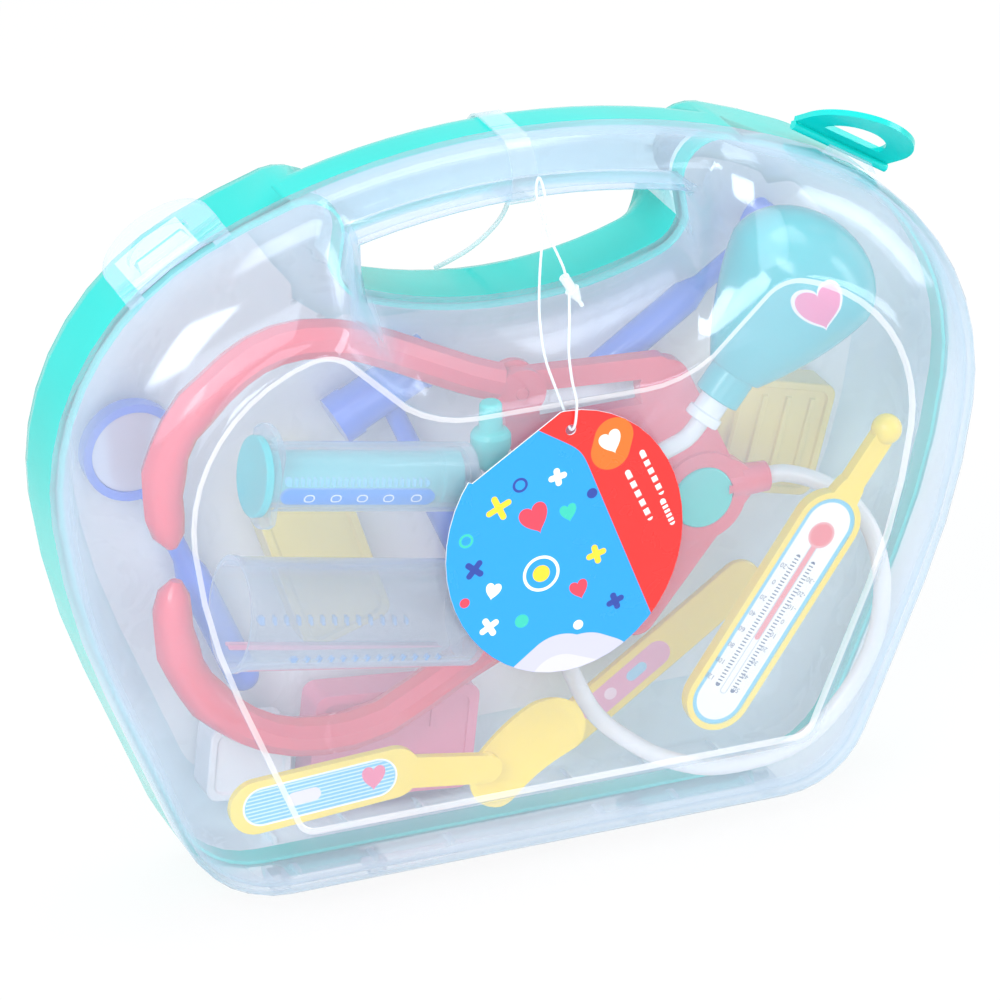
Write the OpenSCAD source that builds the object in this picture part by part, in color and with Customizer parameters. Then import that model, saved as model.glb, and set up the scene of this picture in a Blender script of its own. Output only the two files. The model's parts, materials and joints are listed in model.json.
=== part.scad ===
// Carry case of a toy doctor set: a clear lid and an opaque tray that meet in an upright plane,
// with a handle through both, two latches, two hinges under the bottom and the toys inside.
// X is the width, Y the depth with the lid to the front (-Y), Z is up. The case stands on its
// hinge feet at z = 0, and the parting plane is y = 0.

/* [Case] */
// Width of the case at its widest level
case_w = 280; // [270:1:300]
// Height of the shells, without the feet
case_h = 221; // [218:1:232]
// Depth of the tray behind the parting plane
tray_d = 37.2; // [34:0.2:42]
// Depth of the lid in front of the parting plane
lid_d = 36; // [35:0.5:40]
// Wall of both shells
wall = 1.8; // [1.4:0.1:2.4]
// Radius of the long arc over the top
top_r = 230; // [215:1:250]
// Radius of the shoulders
shoulder_r = 78; // [74:1:84]
// Radius of the sides below the shoulders
side_r = 210; // [180:5:260]
// Radius of the bottom corners
corner_r = 30; // [24:1:34]
// Lean of the straight sides towards the bottom
side_lean = 22; // [20:0.5:24]
// Inset of the rounded edge, seen from the front
edge_w = 28.5; // [26:0.5:32]
// Depth of the lid's rounded edge
lid_edge_d = 22; // [16:1:26]
// Depth of the tray's rounded edge
tray_edge_d = 17; // [12:1:22]

/* [Handle] */
// Height of the grip bar
bar_h = 17; // [15:0.5:20]
// Depth of the bar's half on the tray
tray_bar_d = 20; // [16:0.5:24]
// Depth of the bar's half on the lid
lid_bar_d = 15; // [12:0.5:18]
// Height of the hole between the bar and its lowest point
hole_h = 33.4; // [28:0.2:36]
// Radius of the hole's lower edge
hole_low_r = 126; // [115:1:140]
// Radius of the hole's two ends
hole_end_r = 11; // [10:0.5:12]

/* [Lid front] */
// How far the ridge's dip lies below the hole's lowest point
dip_drop = 18.6; // [14:0.2:24]
// Radius of the dip's two lower corners
dip_r = 35; // [25:1:40]
// Radius of the ridge's two humps
hump_r = 13; // [10:0.5:16]
// Width of the raised ridge
ridge_w = 1.6; // [1:0.1:2.4]
// Height of the raised ridge
ridge_h = 1.2; // [0.6:0.1:2]
// Height of the locating lip that the tray puts into the lid
lip_h = 2.2; // [1.5:0.1:3]

/* [Hinge] */
// Height of the hinge feet that the case stands on
foot_h = 5; // [4.6:0.1:7]
// Width of each lug on the lid
lug_w = 5; // [4:0.5:7]
// Places of the lug pairs across the width: left outer, left inner, right inner, right outer
lug_x = [-76, -46, 37, 81];
// How far a lug reaches to the front
lug_reach = 10; // [8:0.5:12]
// How far a hinge block reaches to the back
block_reach = 15; // [12:0.5:18]
// Diameter of the moulded hinge pins
pin_d = 2.5; // [2:0.1:3]

/* [Latches] */
// Angle of both latches on the shoulders, from level
latch_a = 59; // [55:0.5:63]
// Width of both latches
latch_w = 35; // [32:0.5:38]
// Length of the tab and of the ring beyond their straight part
latch_l = 22; // [20:0.5:24]
// Thickness of the tab and of the ring
latch_t = 1.8; // [1.4:0.1:2.2]
// How far the right ring is lifted from shut, in degrees
ring_lift = 33; // [30:1:70]
// Width of the wedge catches
catch_w = 17; // [14:0.5:20]
// Height of the wedge catches
catch_h = 2.7; // [2:0.1:3.2]

/* [Stethoscope] */
// Diameter of the ear arms
arm_d = 12; // [10:0.5:12.4]
// Thickness of the yoke plate
yoke_t = 5; // [4:0.2:7]
// Diameter of the pivot pins of the ear arms
pivot_d = 4; // [3:0.1:5]
// Diameter of the round disc in the yoke
disc_d = 19.2; // [17:0.2:22]
// Width of the ring round the disc
ring_w = 4.6; // [3:0.2:6]
// Diameter of the yoke's spout for the hose
spout_d = 9.2; // [8:0.2:10]
// Diameter of the hose
hose_d = 5.4; // [4.5:0.1:6]
// Largest diameter of the bell
bell_d = 47; // [42:0.5:48]
// Length of the bell from its neck to its top
bell_l = 62; // [56:0.5:64]
// Diameter of the bell's neck
neck_d = 14; // [13:0.5:18]
// Length of the bell's neck
neck_l = 9; // [8:0.5:12]
// Diameter of the socket in the neck
socket_d = 9.2; // [8.8:0.1:10]
// How far the hose connector stands out of the socket
connector_l = 8; // [7:0.5:10]

/* [Syringe] */
// Outer diameter of the syringe barrel
barrel_d = 20; // [18:0.2:23]
// Length of the syringe barrel
barrel_l = 63; // [56:0.5:66]
// Diameter of the flange before its sides are cut off
flange_d = 30; // [26:0.5:33]
// Thickness of the flange
flange_t = 2; // [1.6:0.1:2.6]
// Length of the nozzle
nozzle_l = 4; // [3:0.5:6]
// Diameter of the plunger's rod
rod_d = 15; // [12:0.5:16]
// Diameter of the thumb plate
plate_d = 23.4; // [20:0.2:25]
// Thickness of the thumb plate
plate_t = 2.4; // [2:0.1:3]
// Wall of the clear pieces
clear_wall = 1.2; // [1:0.1:1.6]

/* [Measuring cup] */
// Outer diameter of the measuring cup
cup_d = 33; // [30:0.5:34]
// Length of the measuring cup
cup_l = 74; // [66:0.5:76]
// How much narrower the cup is at its bottom
cup_taper = 2; // [1:0.5:4]

/* [Spoon] */
// Width of the spoon's handle at its end
handle_w = 17; // [15:0.5:18]
// Thickness of the spoon's handle
spoon_t = 2.4; // [2:0.1:3]
// Width of the spoon's bowl
bowl_w = 20.2; // [17:0.2:22]
// Radius of the bowl's hollow
bowl_r = 38; // [30:1:50]
// Depth of the bowl
bowl_depth = 6; // [4.5:0.5:7]
// Wall of the bowl
bowl_wall = 1.5; // [1.2:0.1:2]

/* [Thermometer and stick] */
// Width of the thermometer's paddle
thermo_w = 21; // [18:0.5:22]
// Thickness of the thermometer
thermo_t = 4; // [3:0.2:4.4]
// Width of the rim round the thermometer's card
thermo_rim = 1.9; // [1.4:0.1:2.4]
// Width of the flat stick
stick_w = 14; // [12:0.5:15]
// Thickness of the flat stick
stick_t = 2.2; // [1.8:0.1:3]

/* [Boxes] */
// Thickness of the four boxes
box_t = 12; // [9:0.5:12.5]
// Width and height of the pink box
pink_size = [52, 34];
// Width and height of the white box
white_size = [26, 24];
// Width and height of the yellow box
yellow_size = [28, 56];
// Width and height of the ribbed yellow box
ribbed_size = [38, 36];
// Depth of the recess in the boxes' fronts
recess_d = 1; // [0.6:0.1:1.4]
// Height and width of the ribs in two of the recesses
box_rib = [1.2, 1.8];

/* [Hand tools] */
// Diameter of the tools' grips
grip_d = 10; // [8:0.5:11]
// Diameter of the tools' shafts
shaft_d = 6; // [5:0.5:7]
// Diameter of the mirror's frame
mirror_d = 30; // [26:0.5:32]
// Width of the rim round the mirror disc
mirror_rim = 2.5; // [2:0.1:3]
// Length of the hammer's head
hammer_l = 34; // [28:0.5:36]
// Diameter of the hammer's head
hammer_d = 14; // [12:0.5:15]
// Length of the otoscope's head
scope_l = 14; // [12:0.5:16]
// Diameter of the ear cone's collar
cone_d = 11.8; // [10:0.2:13]

/* [Film bag] */
// Thickness of the two film layers together
film_t = 0.4; // [0.2:0.1:0.8]
// Inset of the film from the case's outline
film_inset = 16; // [14:0.5:20]
// Distance of the film from the tray's back wall
film_gap = 3; // [2:0.2:4]

/* [Tie and tag] */
// Width of the retail tie round the handle
tie_w = 7.5; // [6:0.5:9]
// Thickness of the tie
tie_t = 0.7; // [0.5:0.1:1]
// Width of the hang tag
tag_w = 73; // [66:0.5:78]
// Height of the hang tag
tag_h = 82; // [76:0.5:86]
// Thickness of the folded card
tag_t = 0.6; // [0.4:0.1:1]
// Distance of the card from the lid's ridge
tag_gap = 1.4; // [1:0.1:3]
// Diameter of the hole in the tag
tag_hole_d = 3.2; // [2.6:0.1:4]
// Diameter of the tag's filament
filament_d = 0.8; // [0.6:0.1:1]

/* [Hidden] */

$fn = 48;
fit = 0.08;          // radial clearance of a pin in its bore
gap = 0.4;           // clearance between pieces that slide past each other
over = 1;            // how far a cut runs past the face that it opens

// ---- Outline of the case in the XZ plane, measured from the bottom wall ----
top_a = 90 - asin((case_w/2 - shoulder_r)/(top_r - shoulder_r));
top_c = [0, case_h - top_r];
shoulder_c = [case_w/2 - shoulder_r, top_c[1] + (top_r - shoulder_r)*sin(top_a)];
side_a = -6;
side_c = shoulder_c + (shoulder_r - side_r)*[cos(side_a), sin(side_a)];
lean_n = [cos(side_lean), -sin(side_lean)];
side_end = side_c + side_r*lean_n;
side_l = (side_end[1] - corner_r*(1 - sin(side_lean)))/cos(side_lean);
corner_c = [side_end[0] - side_l*sin(side_lean) - corner_r*cos(side_lean), corner_r];

// The handle hole: an arc below the bar, a lower arc and two round ends that touch both
bar_r = top_r - bar_h;
hole_z = case_h - bar_h - hole_h;
dip_z = hole_z - dip_drop;
hole_c = [0, hole_z + hole_low_r];
hole_end_c = let (a = bar_r - hole_end_r, b = hole_low_r - hole_end_r, s = hole_c[1] - top_c[1],
                  u = (a*a - b*b + s*s)/(2*s)) [sqrt(a*a - u*u), top_c[1] + u];
hole_low_a = atan2(hole_end_c[1] - hole_c[1], hole_end_c[0]);

// The lobes beside the hole, and the ridge that runs round the lid's front
lobe_a = 73;
lobe_r = 14;
lobe_c = top_c + (top_r - lobe_r)*[cos(lobe_a), sin(lobe_a)];
hump_a = 75;
hump_c = shoulder_c + (shoulder_r - edge_w - hump_r)*[cos(hump_a), sin(hump_a)];
slope_a = 45;
slope_top = hump_c + hump_r*[-sin(slope_a), cos(slope_a)];
dip_rise = dip_r*(1 - cos(slope_a));
dip_x = slope_top[0] - (slope_top[1] - dip_z - dip_rise)/tan(slope_a) - dip_r*sin(slope_a);
ridge_corner_r = 7;
ridge_corner_c = corner_c
    + (edge_w + ridge_corner_r - corner_r)*[(sin(side_lean) - 1)/cos(side_lean), 1];

// A station is [x, z, normal x, normal z, bite], where bite is 1 at the handle hole and 0 elsewhere
function stations(c, r, a0, a1, n, out = 1, bite0 = 0, bite1 = 0) =
    [for (i = [0 : n - 1]) let (t = i/n, a = a0 + (a1 - a0)*t)
        [c[0] + r*cos(a), c[1] + r*sin(a), out*cos(a), out*sin(a), bite0 + (bite1 - bite0)*t]];
function straight(p, q, n, nrm, bite = 0) =
    [for (i = [0 : n - 1]) let (u = p + (q - p)*i/n) [u[0], u[1], nrm[0], nrm[1], bite]];

body_half = concat(
    stations(hole_c, hole_low_r, -90, hole_low_a, 6, -1, 1, 1),
    stations(hole_end_c, hole_end_r, hole_low_a, 0, 5, -1, 1, 1),
    stations(lobe_c, lobe_r, 180, lobe_a, 7, 1, 1, 0),
    stations(top_c, top_r, lobe_a, top_a, 2),
    stations(shoulder_c, shoulder_r, top_a, side_a, 9),
    stations(side_c, side_r, side_a, -side_lean, 3),
    straight(side_end, corner_c + corner_r*lean_n, 2, lean_n),
    stations(corner_c, corner_r, -side_lean, -90, 6),
    straight([corner_c[0], 0], [0, 0], 2, [0, -1]),
    [[0, 0, 0, -1, 0]]);
ridge_half = concat(
    straight([0, dip_z], [dip_x, dip_z], 6, [0, 1], 1),
    stations([dip_x, dip_z + dip_r], dip_r, -90, -90 + slope_a, 5, -1, 1, 1),
    stations(hump_c, hump_r, 90 + slope_a, hump_a, 7),
    stations(shoulder_c, shoulder_r - edge_w, hump_a, top_a, 2),
    stations(shoulder_c, shoulder_r - edge_w, top_a, side_a, 9),
    stations(side_c, side_r - edge_w, side_a, -side_lean, 3),
    straight(side_end - edge_w*lean_n, ridge_corner_c + ridge_corner_r*lean_n, 2, lean_n),
    stations(ridge_corner_c, ridge_corner_r, -side_lean, -90, 6),
    straight([ridge_corner_c[0], edge_w], [0, edge_w], 2, [0, -1]),
    [[0, edge_w, 0, -1, 0]]);

function mirrored(half) = concat(half,
    [for (i = [len(half) - 2 : -1 : 1]) let (s = half[i]) [-s[0], s[1], -s[2], s[3], s[4]]]);
body_ring = mirrored(body_half);
ridge_ring = mirrored(ridge_half);

function inset_point(s, inset) = [s[0] - inset*s[2], s[1] - inset*s[3]];
// Depth of the skin at an angle of its rounded edge: it stands up to the edge, or slopes at the hole
function skin_depth(depth, edge, hole_d, slope, bite, a) =
    let (s = (depth - edge)*(1 - bite) + hole_d*bite, m = slope*bite)
    s + (depth - s)*(sin(a)*(1 - m) + (1 - cos(a))*m);
function skin_ring(inset, depth, edge, hole_d, slope, a) =
    [for (i = [0 : len(body_ring) - 1])
        let (p = inset_point(body_ring[i], inset), q = inset_point(ridge_ring[i], inset*0.6),
             u = p + (q - p)*(1 - cos(a)))
        [u[0], -skin_depth(depth, edge, hole_d, slope, body_ring[i][4], a), u[1]]];
function flat_ring(ring, inset, depth) =
    [for (s = ring) let (u = inset_point(s, inset)) [u[0], -depth, u[1]]];

edge_steps = 7;
// A closed solid through rings of points
module loft(rings) {
    n = len(rings[0]);
    m = len(rings);
    sides = [for (k = [0 : m - 2], i = [0 : n - 1]) let (j = (i + 1)%n)
        each [[k*n + i, k*n + j, k*n + n + i], [k*n + n + i, k*n + j, k*n + n + j]]];
    polyhedron(points = [for (r = rings) each r],
               faces = concat([[for (i = [n - 1 : -1 : 0]) i]], sides,
                              [[for (i = [0 : n - 1]) (m - 1)*n + i]]));
}

// One half's form towards the front, from the parting plane
module body_form(depth, edge, hole_d, slope, inset, start, ridge = false) {
    skin = [for (k = [0 : edge_steps]) skin_ring(inset, depth - inset, edge, hole_d - inset*0.5, slope,
                                                 90*k/edge_steps)];
    bead = [flat_ring(ridge_ring, 0.3, depth + ridge_h),
            flat_ring(ridge_ring, ridge_w, depth + ridge_h),
            flat_ring(ridge_ring, ridge_w + 0.5, depth + ridge_h/2)];
    loft(concat([flat_ring(body_ring, inset, start)], skin, ridge ? bead : []));
}

// Section of the bar's half: x is the distance from the top arc's centre, y the depth
module bar_section(depth, inset) {
    soft = depth*0.55 - inset;
    small = 4 - inset;
    hull() {
        translate([bar_r + inset, -over]) square([bar_h - 2*inset, over]);
        translate([top_r - inset - soft, depth - inset - soft]) circle(soft, $fn = 40);
        translate([bar_r + inset + small, depth - inset - small]) circle(small, $fn = 32);
    }
}
bar_span = 90 - lobe_a + 0.5;
module bar_form(depth, inset)
    translate([top_c[0], 0, top_c[1]]) rotate([90, 0, 0]) rotate([0, 0, 90 - bar_span])
        rotate_extrude(angle = 2*bar_span, $fn = 150)
            intersection() {
                bar_section(depth, inset);
                translate([0, inset > 0 ? -over : 0]) square([2*top_r, depth + over]);
            }

// One hollow half, its open side on the parting plane
module half_shell(depth, edge, hole_d, slope, bar_d, ridge) difference() {
    union() {
        body_form(depth, edge, hole_d, slope, 0, 0, ridge);
        bar_form(bar_d, 0);
    }
    body_form(depth, edge, hole_d, slope, wall, -over);
    bar_form(bar_d, wall);
}

module in_case() translate([0, 0, foot_h]) children();
// A frame on a shoulder: x runs along the edge, y to the back, z out of the case
module on_shoulder(side) in_case()
    translate([side*shoulder_c[0], 0, shoulder_c[1]]) rotate([0, side*(90 - latch_a), 0]) children();

// A moulded wedge catch on the outside of a shoulder, rising to the given side
module wedge_catch(front, back, height) translate([0, 0, shoulder_r - 1.2]) hull() {
    translate([-catch_w/2, min(front, back), 0]) cube([catch_w, abs(back - front), 1.2]);
    translate([-catch_w/2 + 1, back - 1.2*sign(back - front), 0])
        cube([catch_w - 2, 1.2, 1.2 + height]);
}

// A small stiffening rib inside a shell, across the bottom wall
module bottom_rib(x, y0, y1) in_case() translate([x, 0, 0]) hull() {
    translate([-0.6, y0, wall/2]) cube([1.2, y1 - y0, wall/2]);
    translate([-0.6, y0, wall/2]) cube([1.2, (y1 - y0)*0.6, 3]);
}
rib_pitch = 24;
rib_rows = 3;

module tray_shell() color("#38dccf") union() {
    in_case() mirror([0, 1, 0])
        half_shell(tray_d, tray_edge_d, tray_bar_d, 0.5, tray_bar_d, false);
    in_case() difference() {
        loft([flat_ring(body_ring, wall - 0.2, -5), flat_ring(body_ring, wall - 0.2, -3),
              flat_ring(body_ring, wall + gap, -0.6), flat_ring(body_ring, wall + gap, lip_h)]);
        loft([flat_ring(body_ring, wall + gap + 1, -6), flat_ring(body_ring, wall + gap + 1, lip_h + 1)]);
    }
    on_shoulder(-1) wedge_catch(11, 5, catch_h);
    for (s = [-1, 1], i = [1 : rib_rows]) bottom_rib(s*i*rib_pitch, 8, tray_d - tray_edge_d);
}

module lid_shell() color("#bfe6f5") union() {
    in_case() half_shell(lid_d, lid_edge_d, 2, 0.5, lid_bar_d, true);
    on_shoulder(1) wedge_catch(-12, -5, catch_h);
    on_shoulder(-1) translate([-latch_w/2, -6.2, shoulder_r - 1]) cube([latch_w, 3.1, 2.6]);
    for (s = [-1, 1], i = [1 : rib_rows]) bottom_rib(s*i*rib_pitch, lid_edge_d - lid_d + 1, -5);
}

// ---- Hinges under the bottom ----
pin_z = foot_h/2;
eye_r = foot_h/2 - 0.1;
module along_x(x0, x1) translate([x0, 0, 0]) rotate([90, 0, 90]) linear_extrude(x1 - x0) children();
module lug_profile() difference() {
    union() {
        translate([0, pin_z]) circle(eye_r);
        polygon([[-lug_reach, foot_h], [-lug_reach + 0.8, 0.6], [-lug_reach + 1.4, 0], [0, 0],
                 [0, foot_h - 0.1], [-1, foot_h]]);
    }
    translate([0, pin_z]) circle(pin_d/2 + fit);
}
module lid_hinge_lugs() color("#c9ecf7")
    for (x = lug_x) along_x(x - lug_w/2, x + lug_w/2) lug_profile();
module hinge_block(x0, x1) color("#2fd6c8") {
    inner = [x0 + lug_w/2 + gap, x1 - lug_w/2 - gap];
    along_x(inner[0], inner[1]) union() {
        translate([0, pin_z]) circle(eye_r);
        polygon([[0, 0], [block_reach - 1.5, 0], [block_reach, 1.5], [block_reach, foot_h],
                 [1, foot_h], [0, foot_h - 0.1]]);
    }
    along_x(x0 - lug_w/2, x1 + lug_w/2) translate([0, pin_z]) circle(pin_d/2);
}
module hinge_block_left() hinge_block(lug_x[0], lug_x[1]);
module hinge_block_right() hinge_block(lug_x[2], lug_x[3]);

// ---- Latches on the shoulders ----
roll_r = 1.3;
roll_y = 1.7;
latch_z = shoulder_r + catch_h + 0.5;
module latch_plate(root_y) difference() {
    union() {
        translate([-latch_w/2, root_y]) square([latch_w, 5 - root_y]);
        intersection() {
            translate([0, 5]) circle(latch_w/2, $fn = 72);
            translate([-latch_w/2, 5]) square([latch_w, latch_w/2]);
        }
    }
    intersection() {
        translate([0, 3.6]) circle(latch_w*0.29, $fn = 60);
        translate([-latch_w/2, 3.6]) square([latch_w, latch_w]);
    }
}
// The thick roll of a moulded strap hinge at a latch's root
module latch_roll() {
    translate([-latch_w/2, -roll_y, latch_z - 1]) rotate([0, 90, 0]) cylinder(r = roll_r, h = latch_w);
    translate([-latch_w/2, -roll_y - roll_r + 0.1, latch_z - 1]) cube([latch_w, 2, 1.5]);
}
// The tab lies on its catch over the tray
module latch_tab_left() color("#a8e8f0") on_shoulder(-1) union() {
    translate([0, 0, latch_z]) linear_extrude(latch_t) latch_plate(-roll_y);
    latch_roll();
}
// The ring stands a little open, as it springs up when it is let go
module latch_ring_right() color("#2fd6c8") on_shoulder(1)
    translate([0, roll_y, latch_z - 1]) rotate([-ring_lift, 0, 0]) translate([0, -roll_y, 1 - latch_z])
        mirror([0, 1, 0]) union() {
            translate([0, 0, latch_z]) linear_extrude(latch_t) latch_plate(-roll_y);
            latch_roll();
        }

// ---- Helpers for the toys ----
// A piece drawn in a lying plane, stood up at a place [x, y, z], turned in the case's own plane
module standing(at, turn = 0) in_case() translate(at) rotate([0, -turn, 0]) children();
// A flat outline given thickness towards the back
module upright(t) rotate([90, 0, 0]) translate([0, 0, -t]) linear_extrude(t) children();
module round_box(w, h, r) union() {
    translate([-w/2 + r, -h/2]) square([w - 2*r, h]);
    translate([-w/2, -h/2 + r]) square([w, h - 2*r]);
    for (x = [-1, 1], z = [-1, 1]) translate([x*(w/2 - r), z*(h/2 - r)]) circle(r);
}
// A bar with round ends between two points of a flat outline
module bar(p, q, r0, r1) hull() {
    translate(p) circle(r0, $fn = 32);
    translate(q) circle(r1, $fn = 32);
}

// Places in the hollow are [x, z] over the bottom wall. They are measured from the side that the toy lies at.
// Those of the stethoscope and of what lies against it are measured down from the top of the stack.
stack_z = 152;
function from_left(x, z) = [x - case_w/2, z];
function from_right(x, z) = [case_w/2 - x, z];
function in_stack(x, z) = [x, stack_z - z];
function lay(p, y) = [p[0], y, p[1]];
// Half width of the case at a level of the straight sides
function side_x(z) = side_end[0] - (side_end[1] - z)*tan(side_lean);

// A smooth run through hand-chosen points
function spline(p, n) = [for (i = [0 : len(p) - 2], k = [0 : n - 1])
        let (a = p[max(i - 1, 0)], b = p[i], c = p[i + 1], d = p[min(i + 2, len(p) - 1)], t = k/n)
        0.5*(2*b + (c - a)*t + (2*a - 5*b + 4*c - d)*t*t + (3*b - a - 3*c + d)*t*t*t),
    p[len(p) - 1]];
function unit(v) = v/norm(v);
// A tube along a run of points, whose rings stay square to the run
module run_tube(path, radii, sides = 8, up = [0, 1, 0]) {
    last = len(path) - 1;
    rings = [for (i = [0 : last])
        let (t = unit(path[min(i + 1, last)] - path[max(i - 1, 0)]),
             u = unit(cross(t, up)), v = cross(t, u), r = is_list(radii) ? radii[i] : radii)
        [for (k = [0 : sides - 1]) let (a = -360*k/sides) path[i] + r*(u*cos(a) + v*sin(a))]];
    loft(rings);
}

// ---- Syringe, lying across the hollow with its plunger pushed in ----
syringe_at = lay(from_left(57, 134.6), -17);
syringe_turn = 10.3;
plunger_gap = 0.6;
bore_d = barrel_d - 2*clear_wall;
piston_d = bore_d - 2*fit;
piston_l = 6;
module on_syringe() standing(syringe_at, -syringe_turn) rotate([0, 90, 0]) children();
module syringe_barrel() color("#d8f0f8") on_syringe() difference() {
    union() {
        cylinder(d = barrel_d, h = barrel_l);
        intersection() {
            cylinder(d = flange_d, h = flange_t);
            translate([-flange_d, -barrel_d/2 - 0.8, 0]) cube([2*flange_d, barrel_d + 1.6, flange_t]);
        }
        translate([0, 0, barrel_l]) cylinder(d1 = 7, d2 = 5, h = nozzle_l);
    }
    translate([0, 0, -over]) cylinder(d = bore_d, h = barrel_l - 2*clear_wall + over);
    translate([0, 0, barrel_l - over - 2*clear_wall]) cylinder(d = 2.4, h = 20);
}
module syringe_plunger() color("#3fd9cc") on_syringe() union() {
    translate([0, 0, barrel_l - 2*clear_wall - piston_l - 1.5]) cylinder(d = piston_d, h = piston_l);
    translate([0, 0, -plate_t - plunger_gap]) cylinder(d = rod_d, h = barrel_l - 5);
    translate([0, 0, -plate_t - plunger_gap]) cylinder(d = plate_d, h = plate_t);
}

// ---- Measuring cup, lying in front of the ear arms with its mouth at their tips ----
cup_at = [-92, -13.6, 91.4];
cup_turn = 10.3;
module measuring_cup() color("#d4e4f8") standing(cup_at, -cup_turn) rotate([0, 90, 0]) difference() {
    union() {
        cylinder(d1 = cup_d, d2 = cup_d - cup_taper, h = cup_l);
        cylinder(d = cup_d + 1, h = 1.6);
    }
    translate([0, 0, -over]) cylinder(d1 = cup_d - 2*clear_wall, d2 = cup_d - cup_taper - 2*clear_wall,
                                      h = cup_l - clear_wall + over);
}

// ---- Spoon with a labelled handle, its end at the case's left side ----
spoon_y = -28.5;
spoon_z = 36;
spoon_end = [-side_x(spoon_z) + 23.7, spoon_z];
spoon_mid = spoon_end + [42, 2.5];
spoon_neck = spoon_end + [71, -2];
bowl_c = spoon_end + [83, 0.5];
bowl_reach = [8, 6];
module spoon() color("#f7e35c") in_case() translate([0, spoon_y, 0]) union() {
    upright(spoon_t) union() {
        bar(spoon_end, spoon_mid, handle_w/2, handle_w/2 - 0.5);
        bar(spoon_mid, spoon_neck, 5, 4.5);
    }
    // The bowl is a slice of a thin sphere, cut to an oval
    intersection() {
        upright(bowl_depth + 2) bar(bowl_c - bowl_reach, bowl_c + bowl_reach, bowl_w/2 - 0.5, bowl_w/2 + 0.5);
        translate([bowl_c[0], bowl_depth - bowl_r, bowl_c[1]]) difference() {
            sphere(bowl_r, $fn = 96);
            sphere(bowl_r - bowl_wall, $fn = 96);
        }
    }
}

// ---- Thermometer: a paddle with a card, a stem and a bulb end ----
thermo_y = -27;
thermo_low = from_right(85, 42);
thermo_high = from_right(51, 92);
thermo_stem = [from_right(44, 102), from_right(32, 119)];
module thermometer() color("#f8dd4a") in_case() translate([0, thermo_y, 0]) union() {
    difference() {
        upright(thermo_t) union() {
            bar(thermo_low, thermo_high, thermo_w/2, thermo_w/2);
            bar(thermo_high, thermo_stem[0], 6, 4.2);
            bar(thermo_stem[0], thermo_stem[1], 3.4, 3.2);
        }
        translate([0, -0.6, 0]) upright(1)
            bar(thermo_low, thermo_high, thermo_w/2 - thermo_rim, thermo_w/2 - thermo_rim);
    }
    translate(lay(thermo_stem[1], thermo_t/2)) sphere(4.6);
}

// ---- Boxes of the set, standing against the film ----
back_y = 18;
pink_y = 13.3;
white_y = 16.5;
white_z = 25.5;
white_at = [-side_x(white_z) + 33.5, white_z];
pink_at = white_at + [44, -0.5];
yellow_at = from_left(88, 88);
ribbed_at = in_stack(90, 51);
box_round = 4;
// A flat box with a shallow recess in its front, inside a rim
module lidded_box(at, turn, size, rim) standing(at, turn) difference() {
    upright(box_t) round_box(size[0], size[1], box_round);
    translate([0, recess_d - 1.6, 0]) upright(1.6)
        round_box(size[0] - 2*rim, size[1] - 2*rim, box_round - 1);
}
module box_ribs(at, turn, places, z0, l) standing(at, turn) for (x = places)
    translate([x - box_rib[1]/2, 0.15, z0]) cube([box_rib[1], box_rib[0], l]);
module pink_box() color("#f06a96") union() {
    lidded_box(lay(pink_at, pink_y), -6, pink_size, 3);
    box_ribs(lay(pink_at, pink_y), -6, [-12, 0, 12], 4, 9);
}
module white_box() color("#e9eef4") lidded_box(lay(white_at, white_y), -6, white_size, 2.4);
module yellow_box() color("#f3e27c") lidded_box(lay(yellow_at, back_y), 18, yellow_size, 2.6);
module yellow_ribbed_box() color("#ecd873") union() {
    lidded_box(lay(ribbed_at, back_y), -14, ribbed_size, 2.4);
    box_ribs(lay(ribbed_at, back_y), -14, [-12, -4, 4, 12], -13, 26);
}

// ---- Flat stick with a label, lying beside the pink box ----
stick_y = 14.6;
stick_low = pink_at + [56, -8];
stick_high = stick_low + [56, 39];
module tongue_depressor() color("#f5df6a") in_case() translate([0, stick_y, 0])
    upright(stick_t) bar(stick_low, stick_high, stick_w/2, stick_w/2);

// ---- Film bag, laid flat behind the toys ----
// Its right edge is crumpled; each point is [distance from the case's right side, level]
film_y = tray_d - wall - film_gap - film_t;
film_edge = [[22, 176], [14, 166], [9, 156], [12, 150], [9, 140], [13.5, 131], [11, 116], [16, 99],
             [13, 90], [21, 77], [19, 64], [28, 52], [26, 40], [36, 31], [36, 18]];
film_dip = [[dip_x + dip_r*0.3, dip_z - 2], [hump_c[0], hump_c[1] + 12]];
module bag_film() color("#e8eefc") in_case() translate([0, film_y, 0]) upright(film_t) intersection() {
    polygon([for (s = body_ring) inset_point(s, film_inset)]);
    polygon(concat([[0, dip_z - 4]], film_dip, [for (p = film_edge) from_right(p[0], p[1])],
                   [from_left(0, 18), from_left(0, 176)],
                   [for (i = [1, 0]) [-film_dip[i][0], film_dip[i][1]]]));
}

// ---- Hand tools of the set ----
tool_y = 22.5;
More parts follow.
